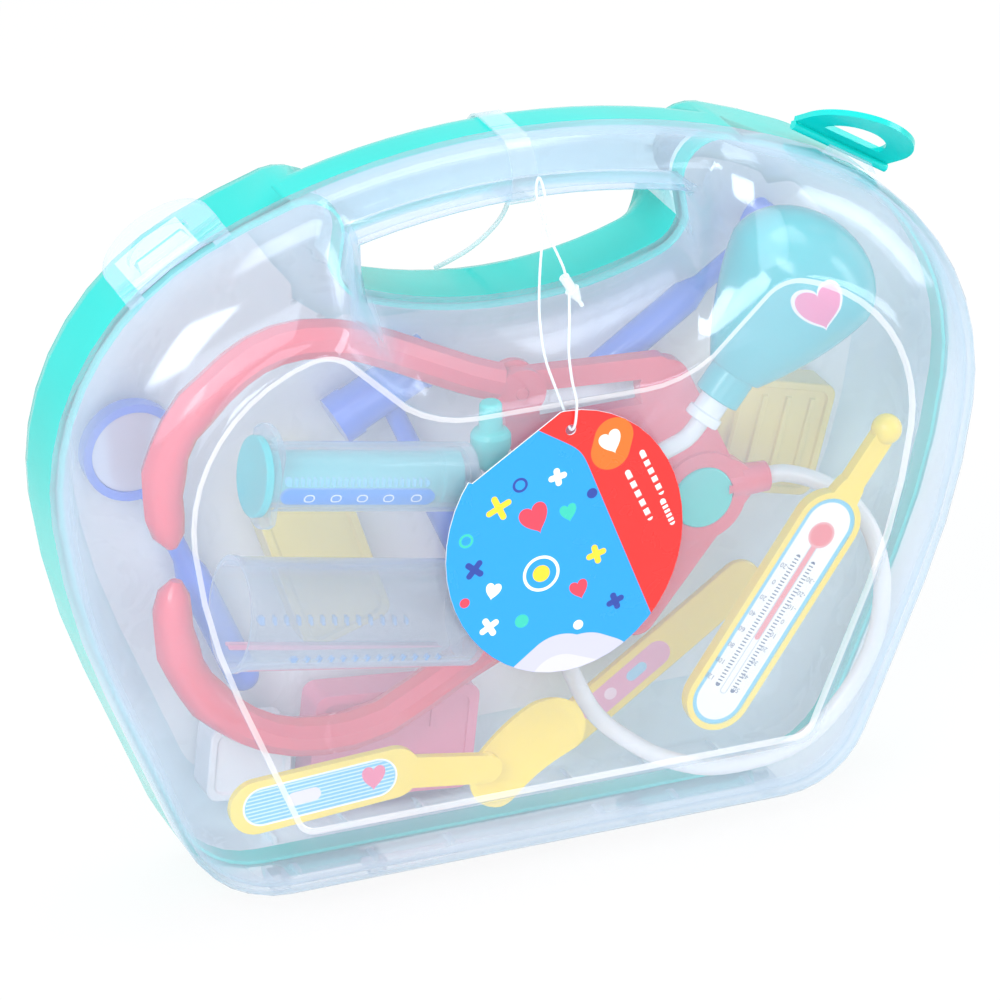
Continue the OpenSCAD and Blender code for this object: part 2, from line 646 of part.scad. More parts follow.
// A handle from one place to another: a thick grip with a round end, a short cone and a thin shaft
module tool_handle(p, q) {
    l = norm(q - p);
    standing(lay(p, tool_y), -atan2(q[0] - p[0], q[1] - p[1])) union() {
        cylinder(d = grip_d, h = l*0.55);
        translate([0, 0, l*0.55]) cylinder(d1 = grip_d, d2 = shaft_d, h = l*0.1);
        cylinder(d = shaft_d, h = l);
        sphere(d = grip_d);
    }
}
mirror_low = from_left(64, 52);
mirror_high = from_left(37, 116);
mirror_head = from_left(32, 130);
module on_mirror() standing(lay(mirror_head, tool_y)) rotate([90, 0, 0]) children();
module mirror_tool() color("#3f5fc4") union() {
    tool_handle(mirror_low, mirror_high);
    on_mirror() difference() {
        translate([0, 0, -3]) cylinder(d = mirror_d, h = 5);
        cylinder(d = mirror_d - 2*mirror_rim, h = 5);
    }
}
module mirror_disc() color("#f4f7fa") on_mirror() cylinder(d = mirror_d - 2*mirror_rim - 0.2, h = 1.2);

hammer_high = in_stack(-30.5, 17.5);
hammer_low = hammer_high + [30.5, -68.5];
module reflex_hammer() color("#3f5fc4") union() {
    tool_handle(hammer_low, hammer_high);
    standing(lay(hammer_high + [-0.5, 1.5], tool_y), 28) rotate([0, 90, 0])
        translate([0, 0, -hammer_l/2]) union() {
            cylinder(d = hammer_d, h = hammer_l);
            for (z = [0, hammer_l - 6]) translate([0, 0, z]) cylinder(d = hammer_d + 1.2, h = 6);
        }
}
scope_low = in_stack(38, 21);
scope_high = scope_low + [48, 33];
module otoscope() color("#3f5fc4") union() {
    tool_handle(scope_low, scope_high);
    standing(lay(scope_high + [5, 3.5], tool_y), -35) rotate([0, 90, 0])
        translate([0, 0, -6]) cylinder(d1 = 13, d2 = 10, h = scope_l);
}
// The cone lies in front of the syringe's nozzle
cone_at = syringe_at + [70.6, 2.5, -3.1];
module ear_cone() color("#2fcfc4") standing(cone_at) rotate_extrude()
    polygon([[0, -9], [2.4, -8.6], [4, -7], [5.2, -2.5], [cone_d/2, -0.6], [cone_d/2, 2.6], [5, 4],
             [3.5, 4.4], [3.3, 12], [2.7, 12.8], [0, 12.8]]);

// ---- Stethoscope: a yoke with two ear arms, a hose and a bell ----
arm_y = 6.4;
arm_r = arm_d/2;
pivot_r = pivot_d/2;
disc_r = disc_d/2;
ring_r = disc_r + ring_w;
spout_r = spout_d/2;
pivot_up = in_stack(4, 15);
pivot_low = in_stack(10, 90);
disc_c = in_stack(62, 59);
spout_end = in_stack(84, 57.5);
yoke_top = in_stack(46, 15);
yoke_post = in_stack(6, 31);
yoke_foot = in_stack(42, 95);
upper_run = [pivot_up + [-6, 3], in_stack(-12, 8), in_stack(-27, 0.5), in_stack(-45, -8),
             in_stack(-62, -11.5), in_stack(-76, -9), in_stack(-88, -1), in_stack(-99, 10),
             in_stack(-104, 23), in_stack(-104, 36), in_stack(-102, 46.5)];
lower_run = [pivot_low + [-6, -3], in_stack(-12, 100), in_stack(-38, 114), in_stack(-58, 116),
             in_stack(-74, 112), in_stack(-87, 103), in_stack(-96, 92), in_stack(-101, 80),
             in_stack(-102.5, 67), in_stack(-101, 57.5)];
// Radius along an arm: the tube, then a plugged tip with two collars and a round end
function arm_radii(n) = [for (i = [0 : n - 1]) let (k = n - 1 - i)
    k == 0 ? arm_r*0.3 : k == 1 ? arm_r*0.82 : k == 4 ? arm_r*1.12 : k == 7 ? arm_r*1.1 : arm_r];
// A bore or pin across the arm and the yoke at a pivot
module at_pivot(p, y, r, h) in_case() translate(lay(p, y)) rotate([90, 0, 0]) cylinder(r = r, h = h);
module ear_arm(run, pivot) union() {
    path = spline([for (p = run) lay(p, arm_y) + [0, 0, foot_h]], 2);
    run_tube(path, arm_radii(len(path)), 10);
    difference() {
        at_pivot(pivot, arm_y + arm_r - 1, arm_r + 1.5, 2*arm_r - 2);
        at_pivot(pivot, arm_y + yoke_t/2 + gap/2, arm_r + 4, yoke_t + gap);
        at_pivot(pivot, arm_y + arm_r, pivot_r + fit, 2*arm_r);
    }
}
module ear_arm_upper() color("#f0526f") ear_arm(upper_run, pivot_up);
module ear_arm_lower() color("#f0526f") ear_arm(lower_run, pivot_low);
module yoke_pins() color("#f7a8b8")
    for (p = [pivot_up, pivot_low]) at_pivot(p, arm_y + arm_r - 1, pivot_r, 2*arm_r - 2);

// The yoke is one flat moulding: two bars over the window, a leg each side of the throat, a ring and a spout
yoke_y = arm_y - yoke_t/2;
module yoke_plate() upright(yoke_t) union() {
    bar(pivot_up, yoke_post, 5.8, 5);
    bar(yoke_post, [yoke_top[0], yoke_post[1]], 4.8, 5.2);
    bar(pivot_up + [0, 2.6], yoke_top + [2, 0], 3.2, 3.4);
    bar(yoke_top + [4, -6], disc_c, 8, ring_r - 1);
    bar(disc_c, yoke_foot, ring_r - 1, 6.2);
    bar(pivot_low, yoke_foot, 5.8, 5.8);
    bar(disc_c + [7, 1], spout_end - [9, 0], 9.5, 5.2);
}
module on_disc(y) in_case() translate(lay(disc_c, y)) rotate([-90, 0, 0]) children();
module on_spout(x) in_case() translate(lay(spout_end, arm_y) + [x, 0, 0]) rotate([0, 90, 0]) children();
module stethoscope_yoke() color("#f0526f") difference() {
    union() {
        in_case() translate([0, yoke_y, 0]) yoke_plate();
        on_disc(yoke_y - 1.5) cylinder(r = ring_r, h = yoke_t);
        on_spout(-14) cylinder(r1 = spout_r + 0.6, r2 = spout_r, h = 14);
    }
    for (p = [pivot_up, pivot_low]) at_pivot(p, arm_y + arm_r, pivot_r + fit, 2*arm_r);
    on_disc(yoke_y - 1.5 - over) cylinder(r = disc_r + fit, h = 3 + over);
    on_spout(-7) cylinder(r = hose_d/2 + 0.2, h = 8);
}
module yoke_disc() color("#35d0c4") on_disc(yoke_y - 2) cylinder(r = disc_r, h = 3.4);

bell_at = lay(in_stack(61, 22), -8);
bell_turn = -37;
neck_r = neck_d/2;
socket_r = socket_d/2;
socket_l = 7;
bell_wide = bell_l*0.7;
module on_bell() standing(bell_at, bell_turn) children();
// The bell swells from its neck in a hollow flare, and closes in a dome
function flare_r(t) = neck_r + 1.4 + (bell_d/2 - neck_r - 1.4)*(1 - ((1 - t)*(1 - t) + 1 - t)/2);
module stethoscope_bell() color("#35d0c4") on_bell() difference() {
    rotate_extrude() polygon(concat(
        [[0, 0], [neck_r, 0], [neck_r, neck_l], [neck_r + 1.4, neck_l]],
        [for (t = [0.1 : 0.1 : 1]) [flare_r(t), neck_l + (bell_wide - neck_l)*t]],
        [for (a = [9 : 9 : 81]) [bell_d/2*cos(a), bell_wide + (bell_l - bell_wide)*sin(a)]],
        [[0, bell_l]]));
    translate([0, 0, -over]) cylinder(r = socket_r, h = socket_l + over);
}
module hose_connector() color("#f2f5f8") on_bell() difference() {
    union() {
        translate([0, 0, -connector_l]) cylinder(r = socket_r - fit, h = connector_l + socket_l - 1);
        translate([0, 0, -connector_l]) cylinder(r = socket_r + 0.8, h = 3);
    }
    translate([0, 0, -connector_l - over]) cylinder(r = hose_d/2 + 0.2, h = 7 + over);
}
// The hose leaves the spout, turns down the right side, crosses the bottom and rises to the bell
hose_run = [[78, 6.4, 94.5], [84, 6.4, 94.5], [90, 4.6, 95], [98, -2, 93.5], [105.5, -8, 88],
            [110.5, -12, 79], [113, -14.5, 66], [112, -16, 53], [108.5, -17, 42], [102, -17.5, 31.5],
            [92.5, -18, 21.5], [83, -18, 16], [72, -18, 14], [60, -18, 14], [51, -18, 16], [40, -17.5, 21],
            [31, -17, 27.5], [21, -15, 37], [14, -13, 51], [10, -11, 66], [11, -10, 82], [18, -9.5, 97],
            [29, -9, 108], [42, -8.5, 115], [51.5, -8, 118.6], [56.2, -8, 123.6], [57.9, -8, 125.9]];
module stethoscope_hose() color("#f4f6f8") in_case()
    run_tube(spline(hose_run, 2), hose_d/2, 8, [0, 1, 0.01]);

// ---- Retail tie round the bar, in two halves with a slack end behind ----
tie_x = -2.5;
module tie_profile(depth) difference() {
    offset(r = gap + tie_t) bar_section(depth, 0);
    offset(r = gap) bar_section(depth, 0);
    translate([0, -5]) square([2*top_r, 5.3]);
}
module tie_half(depth) translate([0, top_c[1]]) rotate(90) tie_profile(depth);
module handle_tie_front() color("#dff3fa") in_case()
    along_x(tie_x - tie_w/2, tie_x + tie_w/2) tie_half(lid_bar_d);
module handle_tie_rear() color("#dff3fa") in_case()
    along_x(tie_x - tie_w/2, tie_x + tie_w/2) mirror([1, 0]) tie_half(tray_bar_d);
tail_run = [[1, 22.2, 210], [4, 23, 204], [8, 23.4, 197], [9, 23.6, 190], [7, 23.8, 184], [3, 24.4, 179],
            [-2, 25.6, 174.5], [-7, 27.4, 171], [-12, 29.4, 168]];
module tie_tail() color("#dff3fa") in_case() run_tube(spline(tail_run, 2), 0.7, 6, [0, 1, 0.2]);

// ---- Hang tag, its filament over the bar and the filament's lock ----
tag_y = -lid_d - ridge_h - tag_gap - tag_t;
tag_c = [0.4, 108.5];
tag_hole = tag_c + [1.6, 35];
// A corner of the oval is cut off on a straight line
tag_cut = [tag_c + [-28.4, 23.5], tag_c + [2.6, 43.5]];
filament_run = [[5.2, -28, 184.4], [4.9, -26, 188], [2.8, -22, 195], [1.2, -19.4, 202], [0.2, -17.6, 208],
                [1.2, -16.9, 212], [2.3, -17.4, 209.5], [2.4, -19.4, 204], [0, -22.8, 196], [-2.6, -27, 186],
                [-4.4, -31.4, 176], [-4.6, -35.6, 166], [-2.4, -38.2, 157], [0, -37.9, 150.5],
                [1.3, -37.5, 146.6], [2, -38.9, 143.6], [2.7, -40.2, 145], [3.2, -40.3, 149],
                [3.4, -39.8, 153], [2.6, -38.6, 158], [2.6, -36, 166], [4, -33, 174], [5.3, -29.6, 181]];
module tag_filament() color("#eef6fa") in_case()
    run_tube(spline(filament_run, 2), filament_d/2, 6, [0, 1, 0.3]);
lock_at = [5.6, -28.6, 183.4];
module filament_lock() color("#e4f1f7") in_case() translate(lock_at) rotate([0, 150, 0]) union() {
    difference() {
        translate([0, 0, -3]) cylinder(r = 1.5, h = 5);
        translate([0, 0, -4]) cylinder(r = filament_d/2 + 0.1, h = 5);
    }
    translate([0, 0, 2]) cylinder(r1 = 2.2, r2 = 0.9, h = 4);
    translate([0, 0, 6]) cylinder(r = 0.6, h = 2.4);
}
module hang_tag() color("#3fb4ea") in_case() translate([0, tag_y, 0]) upright(tag_t) difference() {
    polygon([for (a = [0 : 7.5 : 352.5]) tag_c + [tag_w/2*cos(a), tag_h/2*sin(a)]]);
    polygon([tag_cut[0], tag_cut[1], tag_cut[1] + [-10, 10], tag_cut[0] + [-20, 10]]);
    translate(tag_hole) circle(d = tag_hole_d);
}

tray_shell();
lid_shell();
hinge_block_left();
hinge_block_right();
lid_hinge_lugs();
latch_tab_left();
latch_ring_right();
syringe_barrel();
syringe_plunger();
measuring_cup();
spoon();
thermometer();
tongue_depressor();
pink_box();
white_box();
yellow_box();
yellow_ribbed_box();
bag_film();
mirror_tool();
mirror_disc();
reflex_hammer();
otoscope();
ear_cone();
stethoscope_yoke();
yoke_disc();
yoke_pins();
ear_arm_upper();
ear_arm_lower();
stethoscope_bell();
hose_connector();
stethoscope_hose();
handle_tie_front();
handle_tie_rear();
tie_tail();
tag_filament();
filament_lock();
hang_tag();
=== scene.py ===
import json
import math
import bmesh
import bpy
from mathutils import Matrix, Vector, noise
from mathutils.bvhtree import BVHTree

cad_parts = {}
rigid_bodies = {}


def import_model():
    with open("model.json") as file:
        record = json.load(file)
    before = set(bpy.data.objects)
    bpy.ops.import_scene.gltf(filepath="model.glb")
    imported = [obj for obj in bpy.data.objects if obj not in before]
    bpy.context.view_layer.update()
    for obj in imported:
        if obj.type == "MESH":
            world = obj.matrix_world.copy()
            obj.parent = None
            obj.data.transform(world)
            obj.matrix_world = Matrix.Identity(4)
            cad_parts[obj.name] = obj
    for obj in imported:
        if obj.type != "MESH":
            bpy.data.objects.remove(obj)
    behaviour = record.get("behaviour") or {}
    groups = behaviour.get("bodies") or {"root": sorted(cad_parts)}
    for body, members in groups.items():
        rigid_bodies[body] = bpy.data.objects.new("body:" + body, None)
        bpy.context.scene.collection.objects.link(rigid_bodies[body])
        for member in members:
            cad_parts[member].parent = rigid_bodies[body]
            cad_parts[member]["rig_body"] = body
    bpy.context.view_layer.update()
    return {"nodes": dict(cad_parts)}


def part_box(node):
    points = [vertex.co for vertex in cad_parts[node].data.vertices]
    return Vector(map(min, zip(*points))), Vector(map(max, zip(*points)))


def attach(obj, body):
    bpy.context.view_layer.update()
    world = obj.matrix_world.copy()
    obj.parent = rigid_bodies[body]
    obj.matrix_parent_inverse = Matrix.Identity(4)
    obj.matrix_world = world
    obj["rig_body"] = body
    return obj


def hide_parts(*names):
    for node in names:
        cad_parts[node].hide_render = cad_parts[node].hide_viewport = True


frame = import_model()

nodes = frame["nodes"]

# ---- Studio ----
# A long lens looks a little down on the case's lid from its left. Wide soft boxes stand at both sides, in
# front and above, and the floor is white card that keeps a faint shadow.
camera_azimuth = math.radians(-22.34)
camera_height = math.radians(25.15)
camera_distance = 1.75
aim = Vector((0, 0, 0.125))
photo_focal_px = 6055.4
photo_side_px = 1000
aim_px = (511.58, 451.82)

towards_camera = Vector((math.sin(camera_azimuth) * math.cos(camera_height),
                         -math.cos(camera_azimuth) * math.cos(camera_height), math.sin(camera_height)))
lens = bpy.data.cameras.new("case_camera")
lens.sensor_width = 36
lens.lens = photo_focal_px / photo_side_px * lens.sensor_width
lens.shift_x = (photo_side_px / 2 - aim_px[0]) / photo_side_px
lens.shift_y = (aim_px[1] - photo_side_px / 2) / photo_side_px
lens.clip_start = 0.05
lens.clip_end = 40
camera = bpy.data.objects.new("case_camera", lens)
camera.location = aim + camera_distance * towards_camera
camera.rotation_euler = towards_camera.to_track_quat("Z", "Y").to_euler()
bpy.context.scene.collection.objects.link(camera)
bpy.context.scene.camera = camera
bpy.context.scene.view_settings.view_transform = "Standard"


def soft_box(name, place, width, height, watts):
    """A rectangular lamp that faces the case."""
    lamp = bpy.data.lights.new(name, "AREA")
    lamp.shape = "RECTANGLE"
    lamp.size, lamp.size_y = width, height
    lamp.energy = watts
    holder = bpy.data.objects.new(name, lamp)
    holder.location = place
    holder.rotation_euler = (Vector(place) - aim).to_track_quat("Z", "Y").to_euler()
    bpy.context.scene.collection.objects.link(holder)


soft_box("key_box", (-1.1, -1.0, 1.25), 0.9, 0.9, 19.5)
soft_box("side_box", (1.5, -0.6, 0.7), 0.5, 1.3, 9.3)
soft_box("top_box", (0.1, 0.35, 1.6), 1.2, 0.8, 9.3)
soft_box("front_box", (-0.35, -1.7, 0.5), 1.3, 0.9, 5.6)


def feed(tree, source, socket):
    """Links a socket to another one, or gives it a fixed value."""
    if isinstance(source, bpy.types.NodeSocket):
        tree.links.new(source, socket)
    else:
        socket.default_value = source


def calc(tree, operation, first, second=0, clamp=False):
    """A maths node on two values, each a socket or a number."""
    node = tree.nodes.new("ShaderNodeMath")
    node.operation = operation
    node.use_clamp = clamp
    feed(tree, first, node.inputs[0])
    feed(tree, second, node.inputs[1])
    return node.outputs[0]


def white_surround(tree, plain, out, share):
    """Mixes a plain shader with flat white for the camera, gloss and clear plastic."""
    rays = tree.nodes.new("ShaderNodeLightPath").outputs
    through = calc(tree, "MAXIMUM", rays["Is Glossy Ray"], rays["Is Transmission Ray"])
    seen = calc(tree, "MAXIMUM", rays["Is Camera Ray"], through)
    glow = "ShaderNodeEmission" if out.type == "OUTPUT_MATERIAL" else "ShaderNodeBackground"
    white = tree.nodes.new(glow)
    white.inputs["Color"].default_value = (1, 1, 1, 1)
    white.inputs["Strength"].default_value = 1
    mix = tree.nodes.new("ShaderNodeMixShader")
    feed(tree, calc(tree, "MULTIPLY", seen, share), mix.inputs[0])
    tree.links.new(plain.outputs[0], mix.inputs[1])
    tree.links.new(white.outputs[0], mix.inputs[2])
    tree.links.new(mix.outputs[0], out.inputs["Surface"])


world = bpy.data.worlds.new("studio_air")
world.use_nodes = True
world.node_tree.nodes.clear()
air = world.node_tree.nodes.new("ShaderNodeBackground")
air.inputs["Color"].default_value = (0.96, 0.98, 1, 1)
air.inputs["Strength"].default_value = 0.58
world_out = world.node_tree.nodes.new("ShaderNodeOutputWorld")
white_surround(world.node_tree, air, world_out, 1)
bpy.context.scene.world = world

card = bpy.data.materials.new("floor_card")
card.use_nodes = True
card.node_tree.nodes.clear()
card_white = card.node_tree.nodes.new("ShaderNodeBsdfDiffuse")
card_white.inputs["Color"].default_value = (0.93, 0.94, 0.95, 1)
card_out = card.node_tree.nodes.new("ShaderNodeOutputMaterial")
card_white_share = 0.86
white_surround(card.node_tree, card_white, card_out, card_white_share)
floor_z = -0.0002
floor_corners = ((-9, -9), (9, -9), (9, 9), (-9, 9))
floor_mesh = bpy.data.meshes.new("floor")
floor_mesh.from_pydata([(x, y, floor_z) for x, y in floor_corners], [], [(0, 1, 2, 3)])
floor = bpy.data.objects.new("floor", floor_mesh)
bpy.context.scene.collection.objects.link(floor)
floor_mesh.materials.append(card)


# ---- Hose of the stethoscope ----
# A smooth white vinyl tube, pressed into the yoke's spout at one end and over the bell's connector at the
# other. It lies in the lid's hollow in one wide loop.
def srgb(red, green, blue):
    """A colour as a screen shows it, 0 to 255, in linear light."""
    def one(v):
        v /= 255
        return v / 12.92 if v <= 0.04045 else ((v + 0.055) / 1.055) ** 2.4
    return (one(red), one(green), one(blue), 1)


def new_group(name, given, found):
    """A shader group on object coordinates: its inputs as (name, kind), its outputs as names of numbers."""
    group = bpy.data.node_groups.new(name, "ShaderNodeTree")
    for label, kind in given:
        group.interface.new_socket(label, in_out="INPUT", socket_type=kind)
    for label in found:
        group.interface.new_socket(label, in_out="OUTPUT", socket_type="NodeSocketFloat")
    return (group, group.nodes.new("NodeGroupInput").outputs, group.nodes.new("NodeGroupOutput").inputs,
            group.nodes.new("ShaderNodeTexCoord").outputs["Object"])


def moulding_marks():
    """Shader group for what a plastic shows close up: slow tone, haze of use and fine grain."""
    group, given, found, place = new_group("moulding_marks", [("Grain Scale", "NodeSocketFloat")],
                                           ("Tone", "Haze", "Grain"))
    for label, scale, detail, distortion in (("Tone", 14, 2, 0), ("Haze", 70, 5, 0.8),
                                             ("Grain", given["Grain Scale"], 3, 0)):
        pattern = group.nodes.new("ShaderNodeTexNoise")
        feed(group, scale, pattern.inputs["Scale"])
        pattern.inputs["Detail"].default_value = detail
        pattern.inputs["Distortion"].default_value = distortion
        group.links.new(place, pattern.inputs["Vector"])
        group.links.new(pattern.outputs["Fac"], found[label])
    return group


marks_group = moulding_marks()


def ranged(tree, source, low, high, start=0, stop=1):
    """Spreads a value that runs from start to stop over low to high."""
    spread = tree.nodes.new("ShaderNodeMapRange")
    for label, value in (("From Min", start), ("From Max", stop), ("To Min", low), ("To Max", high)):
        spread.inputs[label].default_value = value
    tree.links.new(source, spread.inputs["Value"])
    return spread.outputs["Result"]


def noise_ranged(tree, source, low, high):
    """Spreads the middle of a noise, where most of it lies, over low to high."""
    return ranged(tree, source, low, high, 0.3, 0.7)


def blend(tree, share, first, second):
    """A colour between two others, each a socket or a colour."""
    node = tree.nodes.new("ShaderNodeMix")
    node.data_type = "RGBA"
    feed(tree, share, node.inputs["Factor"])
    feed(tree, first, node.inputs["A"])
    feed(tree, second, node.inputs["B"])
    return node.outputs["Result"]


def new_plastic(name, grain):
    """A new material, its tree, the inputs of its Principled shader and the outputs of its moulding marks."""
    material = bpy.data.materials.new(name)
    material.use_nodes = True
    tree = material.node_tree
    marks = tree.nodes.new("ShaderNodeGroup")
    marks.node_tree = marks_group
    marks.inputs["Grain Scale"].default_value = grain
    return material, tree, tree.nodes["Principled BSDF"].inputs, marks.outputs


def moulded_plastic(name, dark, light, rough=(0.16, 0.26), grain=900, depth=0.00002, coat=0.25, flesh=0.0):
    """A solid-coloured plastic with its slow tone, its haze of handling and its fine mould grain."""
    material, tree, skin, marks = new_plastic(name, grain)
    feed(tree, blend(tree, noise_ranged(tree, marks["Tone"], 0, 1), dark, light), skin["Base Color"])
    feed(tree, noise_ranged(tree, marks["Haze"], *rough), skin["Roughness"])
    bump = tree.nodes.new("ShaderNodeBump")
    bump.inputs["Strength"].default_value = 0.25
    bump.inputs["Distance"].default_value = depth
    tree.links.new(marks["Grain"], bump.inputs["Height"])
    tree.links.new(bump.outputs["Normal"], skin["Normal"])
    skin["Coat Weight"].default_value = coat
    skin["Coat Roughness"].default_value = 0.06
    if flesh:
        skin["Subsurface Weight"].default_value = flesh
        skin["Subsurface Radius"].default_value = (1, 0.8, 0.7)
        skin["Subsurface Scale"].default_value = 0.002
    return material


def smooth_run(points, steps=4):
    """The smooth run through a route's points, in metres, from millimetres over the standing feet."""
    route = [Vector(p) for p in points]
    run = []
    for i in range(len(route) - 1):
        a, b = route[max(i - 1, 0)], route[i]
        c, d = route[i + 1], route[min(i + 2, len(route) - 1)]
        for k in range(steps):
            t = k / steps
            run.append(0.5 * (2 * b + (c - a) * t + (2 * a - 5 * b + 4 * c - d) * t * t
                              + (3 * b - a - 3 * c + d) * t ** 3))
    run.append(route[-1])
    feet = Vector((0, 0, 5))
    return [(p + feet) / 1000 for p in run]


def drawn_tube(name, run, radius, material, body, rings=5):
    """A round tube or strand along a run, as one open spline."""
    line = bpy.data.curves.new(name, "CURVE")
    line.dimensions = "3D"
    line.bevel_depth = radius
    line.bevel_resolution = rings
    line.use_fill_caps = True
    spline = line.splines.new("POLY")
    spline.points.add(len(run) - 1)
    for point, place in zip(spline.points, run):
        point.co = (*place, 1)
    spline.use_smooth = True
    line.materials.append(material)
    tube = bpy.data.objects.new(name, line)
    bpy.context.scene.collection.objects.link(tube)
    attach(tube, body)
    return tube


hose_r = 0.0027
hose_run = smooth_run([
    (78, 6.4, 94.5), (84, 6.4, 94.5), (90, 4.6, 95), (98, -2, 93.5), (105.5, -8, 88), (110.5, -12, 79),
    (113, -14.5, 66), (112, -16, 53), (108.5, -17, 42), (102, -17.5, 31.5), (92.5, -18, 21.5),
    (83, -18, 16), (72, -18, 14), (60, -18, 14), (51, -18, 16), (40, -17.5, 21), (31, -17, 27.5),
    (21, -15, 37), (14, -13, 51), (10, -11, 66), (11, -10, 82), (18, -9.5, 97), (29, -9, 108),
    (42, -8.5, 115), (51.5, -8, 118.6), (56.2, -8, 123.6), (57.9, -8, 125.9)])
hose_vinyl = moulded_plastic("hose_vinyl", srgb(226, 227, 230), srgb(238, 239, 242), rough=(0.22, 0.36),
                             grain=500, depth=0.00001, coat=0.1, flesh=0.3)
hose = drawn_tube("stethoscope_hose_tube", hose_run, hose_r, hose_vinyl, "tray")
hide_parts("stethoscope_hose")


# ---- Clear strands of the tag and the tie ----
# The tag hangs on a drawn nylon filament looped round the handle and snapped into its own lock. The tie's
# slack end is a thin clear strand that hangs behind the handle.
def clear_plastic(name, colour, facing, grazing, rough=(0.05, 0.12), ior=1.5, edge=None):
    """Clear plastic: a little milk face on, more at a slant, and the full gloss of a mirror over it.

    Its cover is milk and gloss together, with the gloss as the cover's metallic share. Its shadow is thin.
    """
    milk_bend, gloss_bend = 2.2, 5
    face_gloss, slant_gloss, inner_gloss = 1.4 * ((ior - 1) / (ior + 1)) ** 2, 0.6, 0.8
    shadow_share = 0.25
    material, tree, skin, marks = new_plastic(name, 300)
    skin["Specular IOR Level"].default_value = 0.1
    feed(tree, noise_ranged(tree, marks["Haze"], *rough), skin["Roughness"])
    weight = tree.nodes.new("ShaderNodeLayerWeight")
    weight.inputs["Blend"].default_value = 0.5
    slant = weight.outputs["Facing"]
    steep = calc(tree, "POWER", slant, milk_bend)
    feed(tree, blend(tree, steep, colour, edge or colour), skin["Base Color"])
    milk = calc(tree, "MULTIPLY", ranged(tree, steep, facing, grazing),
                noise_ranged(tree, marks["Tone"], 0.85, 1.15))
    mirror = ranged(tree, calc(tree, "POWER", slant, gloss_bend), face_gloss, slant_gloss)
    inner_side = tree.nodes.new("ShaderNodeNewGeometry").outputs["Backfacing"]
    gloss = calc(tree, "MULTIPLY", mirror, ranged(tree, inner_side, 1, inner_gloss))
    cover = calc(tree, "ADD", milk, gloss, clamp=True)
    feed(tree, calc(tree, "DIVIDE", gloss, cover, clamp=True), skin["Metallic"])
    shadow = tree.nodes.new("ShaderNodeLightPath").outputs["Is Shadow Ray"]
    feed(tree, calc(tree, "MULTIPLY", cover, ranged(tree, shadow, 1, shadow_share)), skin["Alpha"])
    return material


strand_clear = clear_plastic("strand_clear", srgb(236, 244, 248), 0.55, 0.95)
filament_r = 0.0004
filament_run = smooth_run([
    (5.2, -28, 184.4), (4.9, -26, 188), (2.8, -22, 195), (1.2, -19.4, 202), (0.2, -17.6, 208),
    (1.2, -16.9, 212), (2.3, -17.4, 209.5), (2.4, -19.4, 204), (0, -22.8, 196), (-2.6, -27, 186),
    (-4.4, -31.4, 176), (-4.6, -35.6, 166), (-2.4, -38.2, 157), (0, -37.9, 150.5), (1.3, -37.5, 146.6),
    (2, -38.9, 143.6), (2.7, -40.2, 145), (3.2, -40.3, 149), (3.4, -39.8, 153), (2.6, -38.6, 158),
    (2.6, -36, 166), (4, -33, 174), (5.3, -29.6, 181)])
filament = drawn_tube("tag_filament_loop", filament_run, filament_r, strand_clear, "tag", 3)
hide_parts("tag_filament")

tail_r = 0.0007
tail_run = smooth_run([
    (1, 22.2, 210), (4, 23, 204), (8, 23.4, 197), (9, 23.6, 190), (7, 23.8, 184), (3, 24.4, 179),
    (-2, 25.6, 174.5), (-7, 27.4, 171), (-12, 29.4, 168)])
tail = drawn_tube("tie_slack_end", tail_run, tail_r, strand_clear, "tray", 3)
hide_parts("tie_tail")


# ---- Tray ----
# The back half of the case is one glossy turquoise injection moulding, with the rear half of the handle, a
# catch on each shoulder and ribs on its bottom wall. Under it are two hinge blocks with pins for the lid.
sharp_edge = math.radians(32)


def from_node(node, name, material, bevel=0.0):
    """A piece made from a CAD solid: doubles merged, edges rounded and curves shaded smooth."""
    mesh = nodes[node].data.copy()
    mesh.name = name
    work = bmesh.new()
    work.from_mesh(mesh)
    bmesh.ops.remove_doubles(work, verts=work.verts, dist=2e-6)
    bmesh.ops.dissolve_limit(work, angle_limit=math.radians(0.4), verts=work.verts, edges=work.edges)
    work.to_mesh(mesh)
    work.free()
    mesh.polygons.foreach_set("use_smooth", [True] * len(mesh.polygons))
    mesh.set_sharp_from_angle(angle=sharp_edge)
    mesh.materials.clear()
    mesh.materials.append(material)
    piece = bpy.data.objects.new(name, mesh)
    bpy.context.scene.collection.objects.link(piece)
    if bevel:
        edge = piece.modifiers.new("rounded_edges", "BEVEL")
        edge.width = bevel
        edge.segments = 2
        edge.limit_method = "ANGLE"
        edge.angle_limit = sharp_edge
        edge.use_clamp_overlap = True
        edge.harden_normals = False
    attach(piece, nodes[node]["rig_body"])
    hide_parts(node)
    return piece


turquoise = moulded_plastic("turquoise_moulding", srgb(4, 204, 196), srgb(14, 216, 210), rough=(0.14, 0.24),
                            grain=700, depth=0.00003, coat=0.1, flesh=0.08)
turquoise.node_tree.nodes["Principled BSDF"].inputs["Specular IOR Level"].default_value = 0.35
# A near-white turquoise for the tray inside the bag: the bag's veil, lightened further as painted light
# against the shade inside the tray
turquoise_bag_veil_and_painted_light = moulded_plastic("turquoise_bag_veil_and_painted_light", srgb(214, 238, 250), srgb(226, 244, 252),
                                   rough=(0.2, 0.34), grain=700, depth=0.00003, coat=0.2, flesh=0.08)
tray = from_node("tray_shell", "tray_moulding", turquoise)
tray.data.materials.append(turquoise_bag_veil_and_painted_light)
tray_solid = bmesh.new()
tray_solid.from_mesh(tray.data)
tray_wall = BVHTree.FromBMesh(tray_solid)
tray_solid.free()
